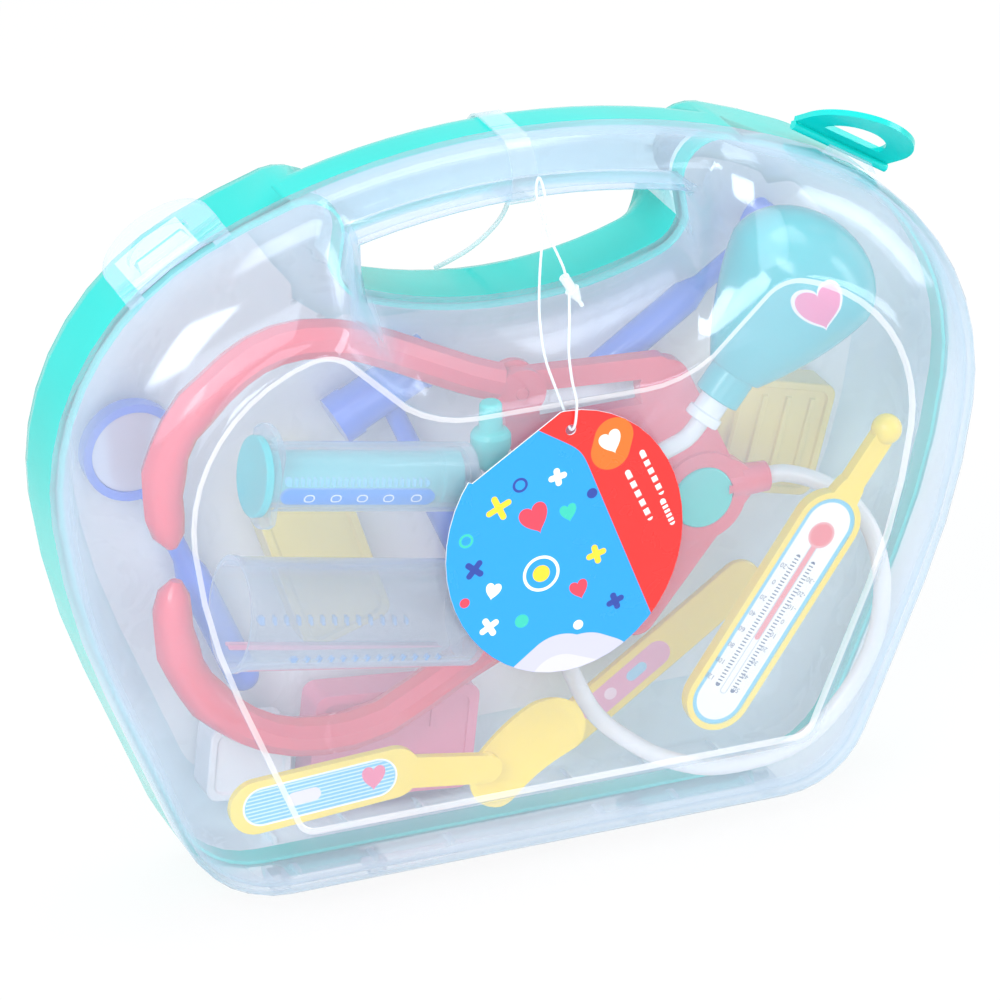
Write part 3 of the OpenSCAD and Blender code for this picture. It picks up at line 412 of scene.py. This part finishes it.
# The milky bag clings to the tray's walls and floor, so inside it the turquoise is painted paler: partly the
# bag's veil, and partly painted light that lifts the shade inside the tray
backwards = Vector((0, 1, 0))
bag_front_y, bag_back_y = 0.003, 0.036
probe_step, probe_reach = 0.0015, 0.04
for face in tray.data.polygons:
    off = Vector(face.center) + probe_step * face.normal
    in_bag = face.center.y > bag_front_y and off.y < bag_back_y
    if in_bag and tray_wall.ray_cast(off, backwards, probe_reach)[0] is not None:
        face.material_index = 1
for side in ("left", "right"):
    from_node(f"hinge_block_{side}", f"hinge_block_{side}_moulding", turquoise, 0.0004)


# ---- Prints on the toys ----
# Labels, scales and stickers are pad-printed or stuck on. Each is laid over its plastic's colour by its place
# in the case's front view, so it follows the surface and needs no sheet of its own.
def vector_calc(tree, operation, first, second=(0, 0, 0)):
    """The outputs of a vector maths node on two values, each a socket or a vector."""
    node = tree.nodes.new("ShaderNodeVectorMath")
    node.operation = operation
    feed(tree, first, node.inputs[0])
    feed(tree, second, node.inputs[1])
    return node.outputs


def bar_print():
    """Shader group: signed distance to a round-ended bar, how far along it (0 to 1) and how far across."""
    group, given, found, place = new_group("bar_print", [
        ("From", "NodeSocketVector"), ("To", "NodeSocketVector"), ("Half Width", "NodeSocketFloat")],
        ("Distance", "Along", "Across"))
    flat = vector_calc(group, "MULTIPLY", place, (1, 0, 1))[0]
    from_start = vector_calc(group, "SUBTRACT", flat, given["From"])[0]
    bar = vector_calc(group, "SUBTRACT", given["To"], given["From"])[0]
    along = calc(group, "DIVIDE", vector_calc(group, "DOT_PRODUCT", from_start, bar)["Value"],
                 vector_calc(group, "DOT_PRODUCT", bar, bar)["Value"], clamp=True)
    off = vector_calc(group, "SUBTRACT", from_start, vector_calc(group, "MULTIPLY", bar, along)[0])[0]
    span = vector_calc(group, "LENGTH", off)["Value"]
    side = vector_calc(group, "CROSS_PRODUCT", bar, (0, 1, 0))[0]
    side = vector_calc(group, "NORMALIZE", side)[0]
    feed(group, calc(group, "SUBTRACT", span, given["Half Width"]), found["Distance"])
    feed(group, along, found["Along"])
    feed(group, vector_calc(group, "DOT_PRODUCT", off, side)["Value"], found["Across"])
    return group


def heart_print():
    """Shader group: a level that is below 1 inside a heart."""
    group, given, found, place = new_group("heart_print", [
        ("Centre", "NodeSocketVector"), ("Half Width", "NodeSocketFloat"), ("Turn", "NodeSocketFloat")],
        ("Level",))
    turned = group.nodes.new("ShaderNodeVectorRotate")
    turned.rotation_type = "Y_AXIS"
    group.links.new(place, turned.inputs["Vector"])
    group.links.new(given["Centre"], turned.inputs["Center"])
    group.links.new(given["Turn"], turned.inputs["Angle"])
    parts = group.nodes.new("ShaderNodeSeparateXYZ")
    feed(group, vector_calc(group, "SUBTRACT", turned.outputs[0], given["Centre"])[0], parts.inputs[0])
    u = calc(group, "DIVIDE", parts.outputs["X"], given["Half Width"])
    v = calc(group, "DIVIDE", parts.outputs["Z"], given["Half Width"])
    cleft = calc(group, "POWER", calc(group, "ABSOLUTE", u), 0.5)
    lobe = calc(group, "SUBTRACT", calc(group, "MULTIPLY", v, 1.1), calc(group, "MULTIPLY", cleft, 0.8))
    level = calc(group, "ADD", calc(group, "MULTIPLY", u, u), calc(group, "MULTIPLY", lobe, lobe))
    feed(group, level, found["Level"])
    return group


bar_group = bar_print()
heart_group = heart_print()


def on_front(point):
    """A place in the front view, (x, z) in millimetres over the table, in metres."""
    return (point[0] / 1000, 0, point[1] / 1000)


def bar_field(tree, start, end, half_width):
    """The outputs of a bar's print in a material."""
    field = tree.nodes.new("ShaderNodeGroup")
    field.node_tree = bar_group
    field.inputs["From"].default_value = on_front(start)
    field.inputs["To"].default_value = on_front(end)
    field.inputs["Half Width"].default_value = half_width / 1000
    return field.outputs


def within(tree, source, low, high, edge=0.00008):
    """1 where a value lies between two others, or below the second, with a soft edge."""
    below = ranged(tree, source, 0, 1, high + edge, high - edge)
    if low is None:
        return below
    return calc(tree, "MULTIPLY", below, ranged(tree, source, 0, 1, low - edge, low + edge))


def front_side(tree):
    """1 on faces that look to the lid's side."""
    turn = tree.nodes.new("ShaderNodeVectorTransform")
    turn.vector_type = "NORMAL"
    turn.convert_from, turn.convert_to = "WORLD", "OBJECT"
    tree.links.new(tree.nodes.new("ShaderNodeNewGeometry").outputs["Normal"], turn.inputs[0])
    parts = tree.nodes.new("ShaderNodeSeparateXYZ")
    tree.links.new(turn.outputs[0], parts.inputs[0])
    return calc(tree, "LESS_THAN", parts.outputs["Y"], -0.35)


def print_over(material, colour, mask):
    """Lays a print over a material where the mask is 1. On clear plastic the ink covers, and has no gloss."""
    tree = material.node_tree
    skin = tree.nodes["Principled BSDF"].inputs
    inked = calc(tree, "MULTIPLY", mask, front_side(tree))
    feed(tree, blend(tree, inked, skin["Base Color"].links[0].from_socket, colour), skin["Base Color"])
    for label, pick, bare, printed in (("Alpha", "MAXIMUM", 0, 0.85), ("Metallic", "MINIMUM", 1, 0)):
        if skin[label].links:
            ink = ranged(tree, inked, bare, printed)
            feed(tree, calc(tree, pick, skin[label].links[0].from_socket, ink), skin[label])


def print_bar(material, colour, start, end, half_width, ring=None):
    """Prints a round-ended bar, or only a line of the given width along its edge."""
    tree = material.node_tree
    distance = bar_field(tree, start, end, half_width)["Distance"]
    print_over(material, colour, within(tree, distance, None if ring is None else -ring / 1000, 0))


def print_dot(material, colour, centre, radius, ring=None):
    """Prints a round dot or a ring, as a bar of almost no length."""
    print_bar(material, colour, centre, (centre[0] + 0.05, centre[1]), radius, ring)


def print_stripes(material, colour, start, end, half_width, count, share=0.4, along=False):
    """Prints fine lines inside a bar, beside each other or one after the other."""
    tree = material.node_tree
    field = bar_field(tree, start, end, half_width)
    if along:
        place = calc(tree, "MULTIPLY", field["Along"], count)
    else:
        place = calc(tree, "MULTIPLY", field["Across"], count / (2 * half_width / 1000))
    line = within(tree, calc(tree, "FRACT", place), None, share, 0.08)
    print_over(material, colour, calc(tree, "MULTIPLY", line, within(tree, field["Distance"], None, 0)))


def print_heart(material, colour, centre, half_width, turn, level=1.0):
    """Prints a heart, turned by some degrees. A higher level makes it wider all round."""
    tree = material.node_tree
    field = tree.nodes.new("ShaderNodeGroup")
    field.node_tree = heart_group
    field.inputs["Centre"].default_value = on_front(centre)
    field.inputs["Half Width"].default_value = half_width / 1000
    field.inputs["Turn"].default_value = math.radians(turn)
    print_over(material, colour, within(tree, field.outputs["Level"], None, level, 0.03))


# ---- Boxes of the set ----
# Four small boxes and tubs lie against the tray's back, each moulded or folded in one plain colour. One has
# ribs across its front.
box_pink = moulded_plastic("box_pink", srgb(240, 118, 152), srgb(246, 136, 168))
box_white = moulded_plastic("box_white", srgb(236, 238, 248), srgb(246, 247, 253))
box_yellow = moulded_plastic("box_yellow", srgb(240, 220, 104), srgb(247, 230, 122))
box_cream = moulded_plastic("box_cream", srgb(236, 214, 110), srgb(244, 224, 128))
from_node("pink_box", "pink_box_body", box_pink, 0.0005)
from_node("white_box", "white_box_body", box_white, 0.0005)
from_node("yellow_box", "yellow_box_body", box_yellow, 0.0005)
from_node("yellow_ribbed_box", "yellow_ribbed_box_body", box_cream, 0.0005)


# ---- Film bag behind the toys ----
# The toys come in a thin milky film bag, whose back lies slack and creased against the tray's floor. Its
# edges are uneven, and the turquoise tray shows beyond them.
film_solid = bmesh.new()
film_solid.from_mesh(nodes["bag_film"].data)
film_tree = BVHTree.FromBMesh(film_solid)
bmesh.ops.delete(film_solid, geom=[f for f in film_solid.faces if abs(f.normal.y) > 0.5], context="FACES")
film_rim = BVHTree.FromBMesh(film_solid)
film_low, film_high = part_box("bag_film")
film_mid_y = (film_low[1] + film_high[1]) / 2
film_cell = 0.002
film_reach = 0.05
film_clearance = 0.0014
tray_back_reach = 0.012
rounding_turns = 8


def film_crease(x, z):
    """How far the film stands off its middle plane: long soft creases across a slow swell."""
    swell = noise.noise(Vector((x * 14, 3.1, z * 14)))
    folds = 0
    for k, (turn, pitch) in enumerate(((0.5, 26), (2.1, 34), (1.25, 48))):
        along = x * math.cos(turn) + z * math.sin(turn)
        across = z * math.cos(turn) - x * math.sin(turn)
        bend = noise.noise(Vector((along * 9, k * 7.7, across * 9)))
        folds += (1 - abs(noise.noise(Vector((across * pitch + bend, k * 5.3, along * 5))) * 2.2)) / 3
    return 0.00022 * swell + 0.00042 * (folds - 0.5)


def under_film(x, z):
    """True where the film lies: over its solid, and slack from there to the tray's wall."""
    if film_tree.ray_cast(Vector((x, -1, z)), backwards)[0] is not None:
        return True
    here = Vector((x, film_mid_y, z))
    return (tray_wall.ray_cast(here, backwards, tray_back_reach)[0] is not None
            and tray_wall.find_nearest(here)[3] > film_clearance
            and film_tree.find_nearest(here, film_reach)[0] is not None)


film_form = bmesh.new()
film_points = {}
slack = int(film_reach / film_cell) + 1
columns = int((film_high[0] - film_low[0]) / film_cell) + 2
rows = int((film_high[2] - film_low[2]) / film_cell) + 2
for i in range(-slack, columns + slack):
    for k in range(-slack, rows + slack):
        x = film_low[0] + i * film_cell
        z = film_low[2] + k * film_cell
        if under_film(x, z):
            film_points[i, k] = film_form.verts.new((x, film_mid_y + film_crease(x, z), z))
for i, k in film_points:
    square = [film_points.get(c) for c in ((i, k), (i + 1, k), (i + 1, k + 1), (i, k + 1))]
    if all(square):
        film_form.faces.new(square)
for vert in [v for v in film_form.verts if not v.link_faces]:
    film_form.verts.remove(vert)
# Its edge is rounded off, and where it is near the solid's own edge it is put on that
film_edge = [v for v in film_form.verts if v.is_boundary]
for _ in range(rounding_turns):
    rounded = {}
    for vert in film_edge:
        beside = [edge.other_vert(vert).co for edge in vert.link_edges if edge.is_boundary]
        if len(beside) == 2:
            rounded[vert] = 0.5 * vert.co + 0.25 * (beside[0] + beside[1])
    for vert, place in rounded.items():
        vert.co.x, vert.co.z = place.x, place.z
for vert in film_edge:
    rim_point = film_rim.find_nearest(vert.co)[0]
    if (rim_point - vert.co).length < 1.6 * film_cell:
        vert.co.x, vert.co.z = rim_point.x, rim_point.z
film_area = sum(f.calc_area() for f in film_form.faces)
film_mesh = bpy.data.meshes.new("bag_film_sheet")
film_form.to_mesh(film_mesh)
film_form.free()
film_solid.free()
film_mesh.polygons.foreach_set("use_smooth", [True] * len(film_mesh.polygons))
bag_film = bpy.data.objects.new("bag_film_sheet", film_mesh)
bpy.context.scene.collection.objects.link(bag_film)
film_milk = clear_plastic("film_milk", srgb(248, 251, 255), 0.92, 0.97, rough=(0.2, 0.4), ior=1.45)
film_mesh.materials.append(film_milk)
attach(bag_film, "tray")
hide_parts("bag_film")


# ---- Hand tools ----
# Three solid blue mouldings at the back: a reflex hammer, an otoscope, and a mirror on a handle with a
# silvered disc pressed in.
tool_blue = moulded_plastic("tool_blue", srgb(82, 122, 244), srgb(98, 138, 250))
mirror_silver = moulded_plastic("mirror_silver", srgb(206, 216, 244), srgb(222, 230, 250), rough=(0.16, 0.24))
mirror_silver.node_tree.nodes["Principled BSDF"].inputs["Metallic"].default_value = 0.3
from_node("mirror_tool", "mirror_tool_body", tool_blue, 0.0003)
from_node("mirror_disc", "mirror_tool_disc", mirror_silver, 0.0002)
from_node("reflex_hammer", "reflex_hammer_body", tool_blue, 0.0003)
from_node("otoscope", "otoscope_body", tool_blue, 0.0003)


# ---- Stethoscope ----
# Coral arms that turn on pins in a coral yoke, a turquoise disc pressed into the yoke's ring, and a turquoise
# bell on the hose's white connector.
coral = moulded_plastic("stethoscope_coral", srgb(234, 60, 84), srgb(243, 78, 100), rough=(0.16, 0.28),
                        flesh=0.15)
connector_white = moulded_plastic("connector_white", srgb(232, 236, 240), srgb(244, 247, 250))
from_node("stethoscope_yoke", "yoke_moulding", coral, 0.0005)
from_node("yoke_pins", "yoke_pin_pair", coral, 0.0003)
from_node("ear_arm_upper", "ear_arm_upper_tube", coral)
from_node("ear_arm_lower", "ear_arm_lower_tube", coral)
from_node("yoke_disc", "yoke_disc_cap", turquoise, 0.0006)
from_node("hose_connector", "hose_connector_sleeve", connector_white, 0.0003)
bell_turquoise = moulded_plastic("bell_turquoise", srgb(0, 176, 184), srgb(12, 190, 198), coat=0.3, flesh=0.1)
for ink, level in ((srgb(244, 238, 246), 1.25), (srgb(240, 110, 164), 0.95)):
    print_heart(bell_turquoise, ink, (84, 166.8), 6.6, 18, level)
from_node("stethoscope_bell", "bell_moulding", bell_turquoise, 0.0004)


# ---- Syringe ----
# A clear barrel with a blue strip of rings and a row of ticks printed on it, and a turquoise plunger that
# slides in its bore.
barrel_clear = clear_plastic("barrel_clear", srgb(206, 232, 246), 0.10, 0.75)
strip_from, strip_to = (-78, 136.3), (-37, 128.8)
print_bar(barrel_clear, srgb(20, 140, 236), strip_from, strip_to, 2.6)
for place in ((-72.6, 134.9), (-64.6, 133.5), (-56.7, 132.1), (-48.8, 130.7), (-40.4, 129.2)):
    print_bar(barrel_clear, srgb(246, 250, 255), place, (place[0] + 0.7, place[1] - 0.12), 1.3, 0.38)
print_stripes(barrel_clear, srgb(120, 200, 236), (-78, 140.9), (-37, 133.4), 1.2, 22, along=True)
from_node("syringe_barrel", "syringe_barrel_tube", barrel_clear, 0.0003)
plunger_turquoise = moulded_plastic("plunger_turquoise", srgb(20, 200, 204), srgb(40, 212, 216))
from_node("syringe_plunger", "syringe_plunger_rod", plunger_turquoise, 0.0004)


# ---- Measuring cup ----
# A thin clear tumbler that lies on its side among the toys. A pink line and the ticks of a scale are printed
# along it.
cup_clear = clear_plastic("cup_clear", srgb(214, 228, 246), 0.10, 0.75)
print_bar(cup_clear, srgb(244, 150, 172), (-90, 82.2), (-26, 70.6), 0.45)
print_stripes(cup_clear, srgb(120, 170, 232), (-78, 85.6), (-34, 77.6), 1.1, 12, 0.3, along=True)
from_node("measuring_cup", "measuring_cup_wall", cup_clear, 0.0002)


# ---- Spoon, thermometer, stick and ear cone ----
# Flat yellow mouldings with labels stuck on, the thermometer's with a red column between two scales. The ear
# cone is a small turquoise funnel.
toy_yellow = moulded_plastic("toy_yellow", srgb(250, 216, 24), srgb(255, 226, 48), rough=(0.16, 0.28),
                             coat=0.3, flesh=0.15)
spoon_yellow = toy_yellow.copy()
spoon_yellow.name = "spoon_yellow"
label_from, label_to = (-88.5, 41.1), (-53.5, 43.2)
print_bar(spoon_yellow, srgb(246, 250, 255), label_from, label_to, 6.2)
print_bar(spoon_yellow, srgb(96, 190, 232), label_from, label_to, 5.6)
print_stripes(spoon_yellow, srgb(196, 232, 246), label_from, label_to, 5.4, 9)
print_bar(spoon_yellow, srgb(236, 226, 240), (-79, 41.6), (-73, 42), 2.2)
print_heart(spoon_yellow, srgb(240, 92, 138), (-54.6, 42.6), 3.6, 0)
from_node("spoon", "spoon_moulding", spoon_yellow, 0.0005)

thermo_yellow = toy_yellow.copy()
thermo_yellow.name = "thermometer_yellow"
card_from, card_to = (55, 47), (89, 97)
column_from, column_to, bulb = (56.5, 49.2), (86, 92.6), (87, 94.1)
print_bar(thermo_yellow, srgb(110, 198, 232), card_from, card_to, 8.6)
print_bar(thermo_yellow, srgb(250, 249, 242), card_from, card_to, 7.2)
print_bar(thermo_yellow, srgb(190, 196, 206), column_from, column_to, 1.2, 0.3)
print_bar(thermo_yellow, srgb(238, 130, 134), (67, 64.6), column_to, 0.9)
print_dot(thermo_yellow, srgb(240, 150, 150), bulb, 4.2)
print_dot(thermo_yellow, srgb(236, 96, 100), bulb, 3.5)
for side in (-1, 1):
    across = 2.9 * side * Vector((50, -34)).normalized()
    print_stripes(thermo_yellow, srgb(70, 84, 120), Vector((57, 50)) + across, Vector((82, 86.8)) + across,
                  0.8, 40, 0.35, along=True)


def numerals(name, marks, height, up, depth, material, body):
    """Figures of a scale as one thin mesh: each mark has its text and its place (x, z) on a flat front."""
    rise = Vector(up).normalized()
    reach = Vector((rise.y, -rise.x))
    joined = bmesh.new()
    for text, centre in marks:
        line = bpy.data.curves.new(name, "FONT")
        line.body = text
        line.size = height
        line.align_x = "CENTER"
        line.align_y = "CENTER"
        line.resolution_u = 2
        holder = bpy.data.objects.new(name, line)
        bpy.context.scene.collection.objects.link(holder)
        drawn = holder.evaluated_get(bpy.context.evaluated_depsgraph_get())
        figure = bpy.data.meshes.new_from_object(drawn)
        for vert in figure.vertices:
            x, z = Vector(centre) + vert.co.x * reach + vert.co.y * rise
            vert.co = (x, depth, z)
        joined.from_mesh(figure)
        bpy.data.objects.remove(holder)
        bpy.data.curves.remove(line)
        bpy.data.meshes.remove(figure)
    for face in joined.faces:
        if face.normal.y > 0:
            face.normal_flip()
    flat = bpy.data.meshes.new(name)
    joined.to_mesh(flat)
    joined.free()
    flat.materials.append(material)
    piece = bpy.data.objects.new(name, flat)
    bpy.context.scene.collection.objects.link(piece)
    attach(piece, body)


scale_ink = moulded_plastic("scale_ink", srgb(64, 78, 116), srgb(76, 90, 130), rough=(0.4, 0.5))
thermo_up = Vector((-33.3, -44.8)).normalized()
thermo_side = Vector((-thermo_up.y, thermo_up.x))
scale_start = Vector((79.6, 83.1))
figure_height, card_front_y = 0.0023, -0.02665
thermo_marks = []
for count, pitch, first, step, aside in ((9, 4.9, -30, 10, 5.3), (8, 5.6, -20, 20, -5.3)):
    for k in range(count):
        place = scale_start + pitch * k * thermo_up + aside * thermo_side
        thermo_marks.append((str(first + step * k), place / 1000))
numerals("thermometer_figures", thermo_marks, figure_height, thermo_up, card_front_y, scale_ink, "tray")
from_node("thermometer", "thermometer_paddle", thermo_yellow, 0.0004)

stick_yellow = toy_yellow.copy()
stick_yellow.name = "stick_yellow"
print_bar(stick_yellow, srgb(238, 150, 180), (33, 28.3), (53, 42.2), 4.4)
print_dot(stick_yellow, srgb(252, 214, 226), (38, 31.85), 2)
print_bar(stick_yellow, srgb(150, 206, 236), (45, 36.6), (48, 38.7), 1.8)
from_node("tongue_depressor", "tongue_depressor_stick", stick_yellow, 0.0004)
from_node("ear_cone", "ear_cone_body", turquoise, 0.0002)


# ---- Lid ----
# The front half of the case is clear, faintly hazy and blue, with a raised ridge round its panel and the four
# hinge lugs that the case stands on. The ridge and the cut rim are painted whiter and more opaque, as a
# painted highlight.
lid_clear = clear_plastic("lid_clear", srgb(228, 240, 255), 0.1, 0.72, rough=(0.07, 0.16),
                          edge=srgb(180, 216, 240))
lid_painted_highlight = clear_plastic("lid_painted_highlight", srgb(250, 251, 255), 0.45, 0.85, rough=(0.05, 0.1))
lid = from_node("lid_shell", "lid_moulding", lid_clear)
lid.data.materials.append(lid_painted_highlight)
ridge_y = min(v.co.y for v in lid.data.vertices)
ridge_height, ridge_slack, rim_y = 0.0011, 0.0001, -0.0004
# Faces on the ridge and on the cut rim take the whiter material: a painted highlight
for face in lid.data.polygons:
    depths = [lid.data.vertices[i].co.y for i in face.vertices]
    on_ridge = max(depths) < ridge_y + ridge_height and min(depths) < ridge_y + ridge_slack
    if on_ridge or min(depths) > rim_y:
        face.material_index = 1
from_node("lid_hinge_lugs", "lid_hinge_lug_row", lid_clear, 0.0003)


# ---- Latches ----
# Two D-shaped tabs turn over the shoulders: a clear one on the lid, which is closed, and a turquoise one on
# the tray, which is lifted.
from_node("latch_tab_left", "latch_tab_left_moulding", lid_clear, 0.0004)
from_node("latch_ring_right", "latch_ring_right_moulding", turquoise, 0.0004)


# ---- Retail tie and tag ----
# A flat clear strap goes round both halves of the handle. The tag is an egg-shaped printed card with a cut
# shoulder, and the filament's snap lock is a small clear bead.
tie_clear = clear_plastic("tie_clear", srgb(222, 240, 248), 0.05, 0.6)
from_node("handle_tie_front", "handle_tie_front_band", tie_clear)
from_node("handle_tie_rear", "handle_tie_rear_band", tie_clear)
from_node("filament_lock", "filament_lock_bead", strand_clear, 0.0001)
tag_print = moulded_plastic("tag_print", srgb(244, 246, 250), srgb(250, 251, 254), rough=(0.2, 0.3),
                            grain=1500, depth=0.00001, coat=0.4)


def side_field(tree, start, end):
    """Signed distance to a line in the case's front view."""
    line = (Vector(end) - Vector(start)).normalized()
    place = tree.nodes.new("ShaderNodeTexCoord").outputs["Object"]
    off = vector_calc(tree, "SUBTRACT", place, on_front(start))[0]
    return vector_calc(tree, "DOT_PRODUCT", off, (-line.y, 0, line.x))["Value"]


def print_plus(material, colour, centre, reach, half_width, turn):
    """Prints a plus sign of two crossed bars, turned by some degrees."""
    for angle in (math.radians(turn), math.radians(turn + 90)):
        way = reach * Vector((math.cos(angle), math.sin(angle)))
        print_bar(material, colour, Vector(centre) - way, Vector(centre) + way, half_width)


sky, red, orange, cream = srgb(8, 158, 236), srgb(238, 30, 26), srgb(248, 112, 14), srgb(255, 244, 232)
white, yellow, navy = srgb(255, 255, 255), srgb(250, 214, 40), srgb(24, 62, 160)
rose, mint, hill, hill_top = srgb(240, 60, 84), srgb(44, 204, 180), srgb(204, 204, 236), srgb(218, 217, 243)
print_bar(tag_print, sky, (0, 108), (0.1, 118), 60)
print_bar(tag_print, hill, (-9, 66), (-1, 72), 12.5)
print_bar(tag_print, hill, (6, 70), (10, 68), 13.5)
print_bar(tag_print, hill_top, (-1, 68), (9, 64), 10)
# The red area lies beyond a line that bends at the middle of the tag's upper half
red_bend = (5.4, 141.6)
red_edge = tag_print.node_tree.nodes.new("ShaderNodeMath")
red_edge.operation = "SMOOTH_MAX"
feed(tag_print.node_tree, side_field(tag_print.node_tree, (-7.5, 149.8), red_bend), red_edge.inputs[0])
feed(tag_print.node_tree, side_field(tag_print.node_tree, red_bend, (22.8, 97.3)), red_edge.inputs[1])
red_edge.inputs[2].default_value = 0.004
print_over(tag_print, red, within(tag_print.node_tree, red_edge.outputs[0], 0, 1))
print_bar(tag_print, orange, (14.2, 140), (15.2, 144), 6)
print_heart(tag_print, cream, (14.7, 141.6), 3.4, 20)
for start, end in (((24, 137.5), (30, 124)), ((19.6, 132), (26.6, 116.5)), ((30.6, 121), (33.6, 113.8))):
    print_stripes(tag_print, srgb(255, 240, 238), start, end, 0.85, 5, 0.62, along=True)
for colour, centre, reach, turn in (
        (yellow, (-20, 128), 3.2, 25), (white, (-2, 134.5), 1.9, 10), (navy, (-27.5, 110), 2.4, 50),
        (yellow, (10, 108), 2.2, 15), (white, (-23, 91), 2.3, 30), (navy, (16, 92), 1.9, 20)):
    print_plus(tag_print, colour, centre, reach, 0.95, turn)
for colour, centre, half, turn in (
        (rose, (-8.5, 121.5), 4.4, 20), (white, (-22, 101.5), 2.4, -15), (mint, (1.5, 122), 2.6, 10),
        (rose, (5, 97), 2.8, 15)):
    print_heart(tag_print, colour, centre, half, turn)
for colour, centre, radius, ring in (
        (navy, (-13.5, 134), 2.3, 0.8), (mint, (-30, 119.5), 2.2, 0.8), (white, (-7, 105), 5.6, 0.9),
        (yellow, (-7, 105), 2.6, None), (mint, (-13, 91), 2.1, None), (rose, (-30.5, 100), 1.5, None),
        (navy, (8.6, 127.5), 1.6, None), (white, (4.5, 86.5), 1.5, None)):
    print_dot(tag_print, colour, centre, radius, ring)
from_node("hang_tag", "hang_tag_card", tag_print, 0.0003)
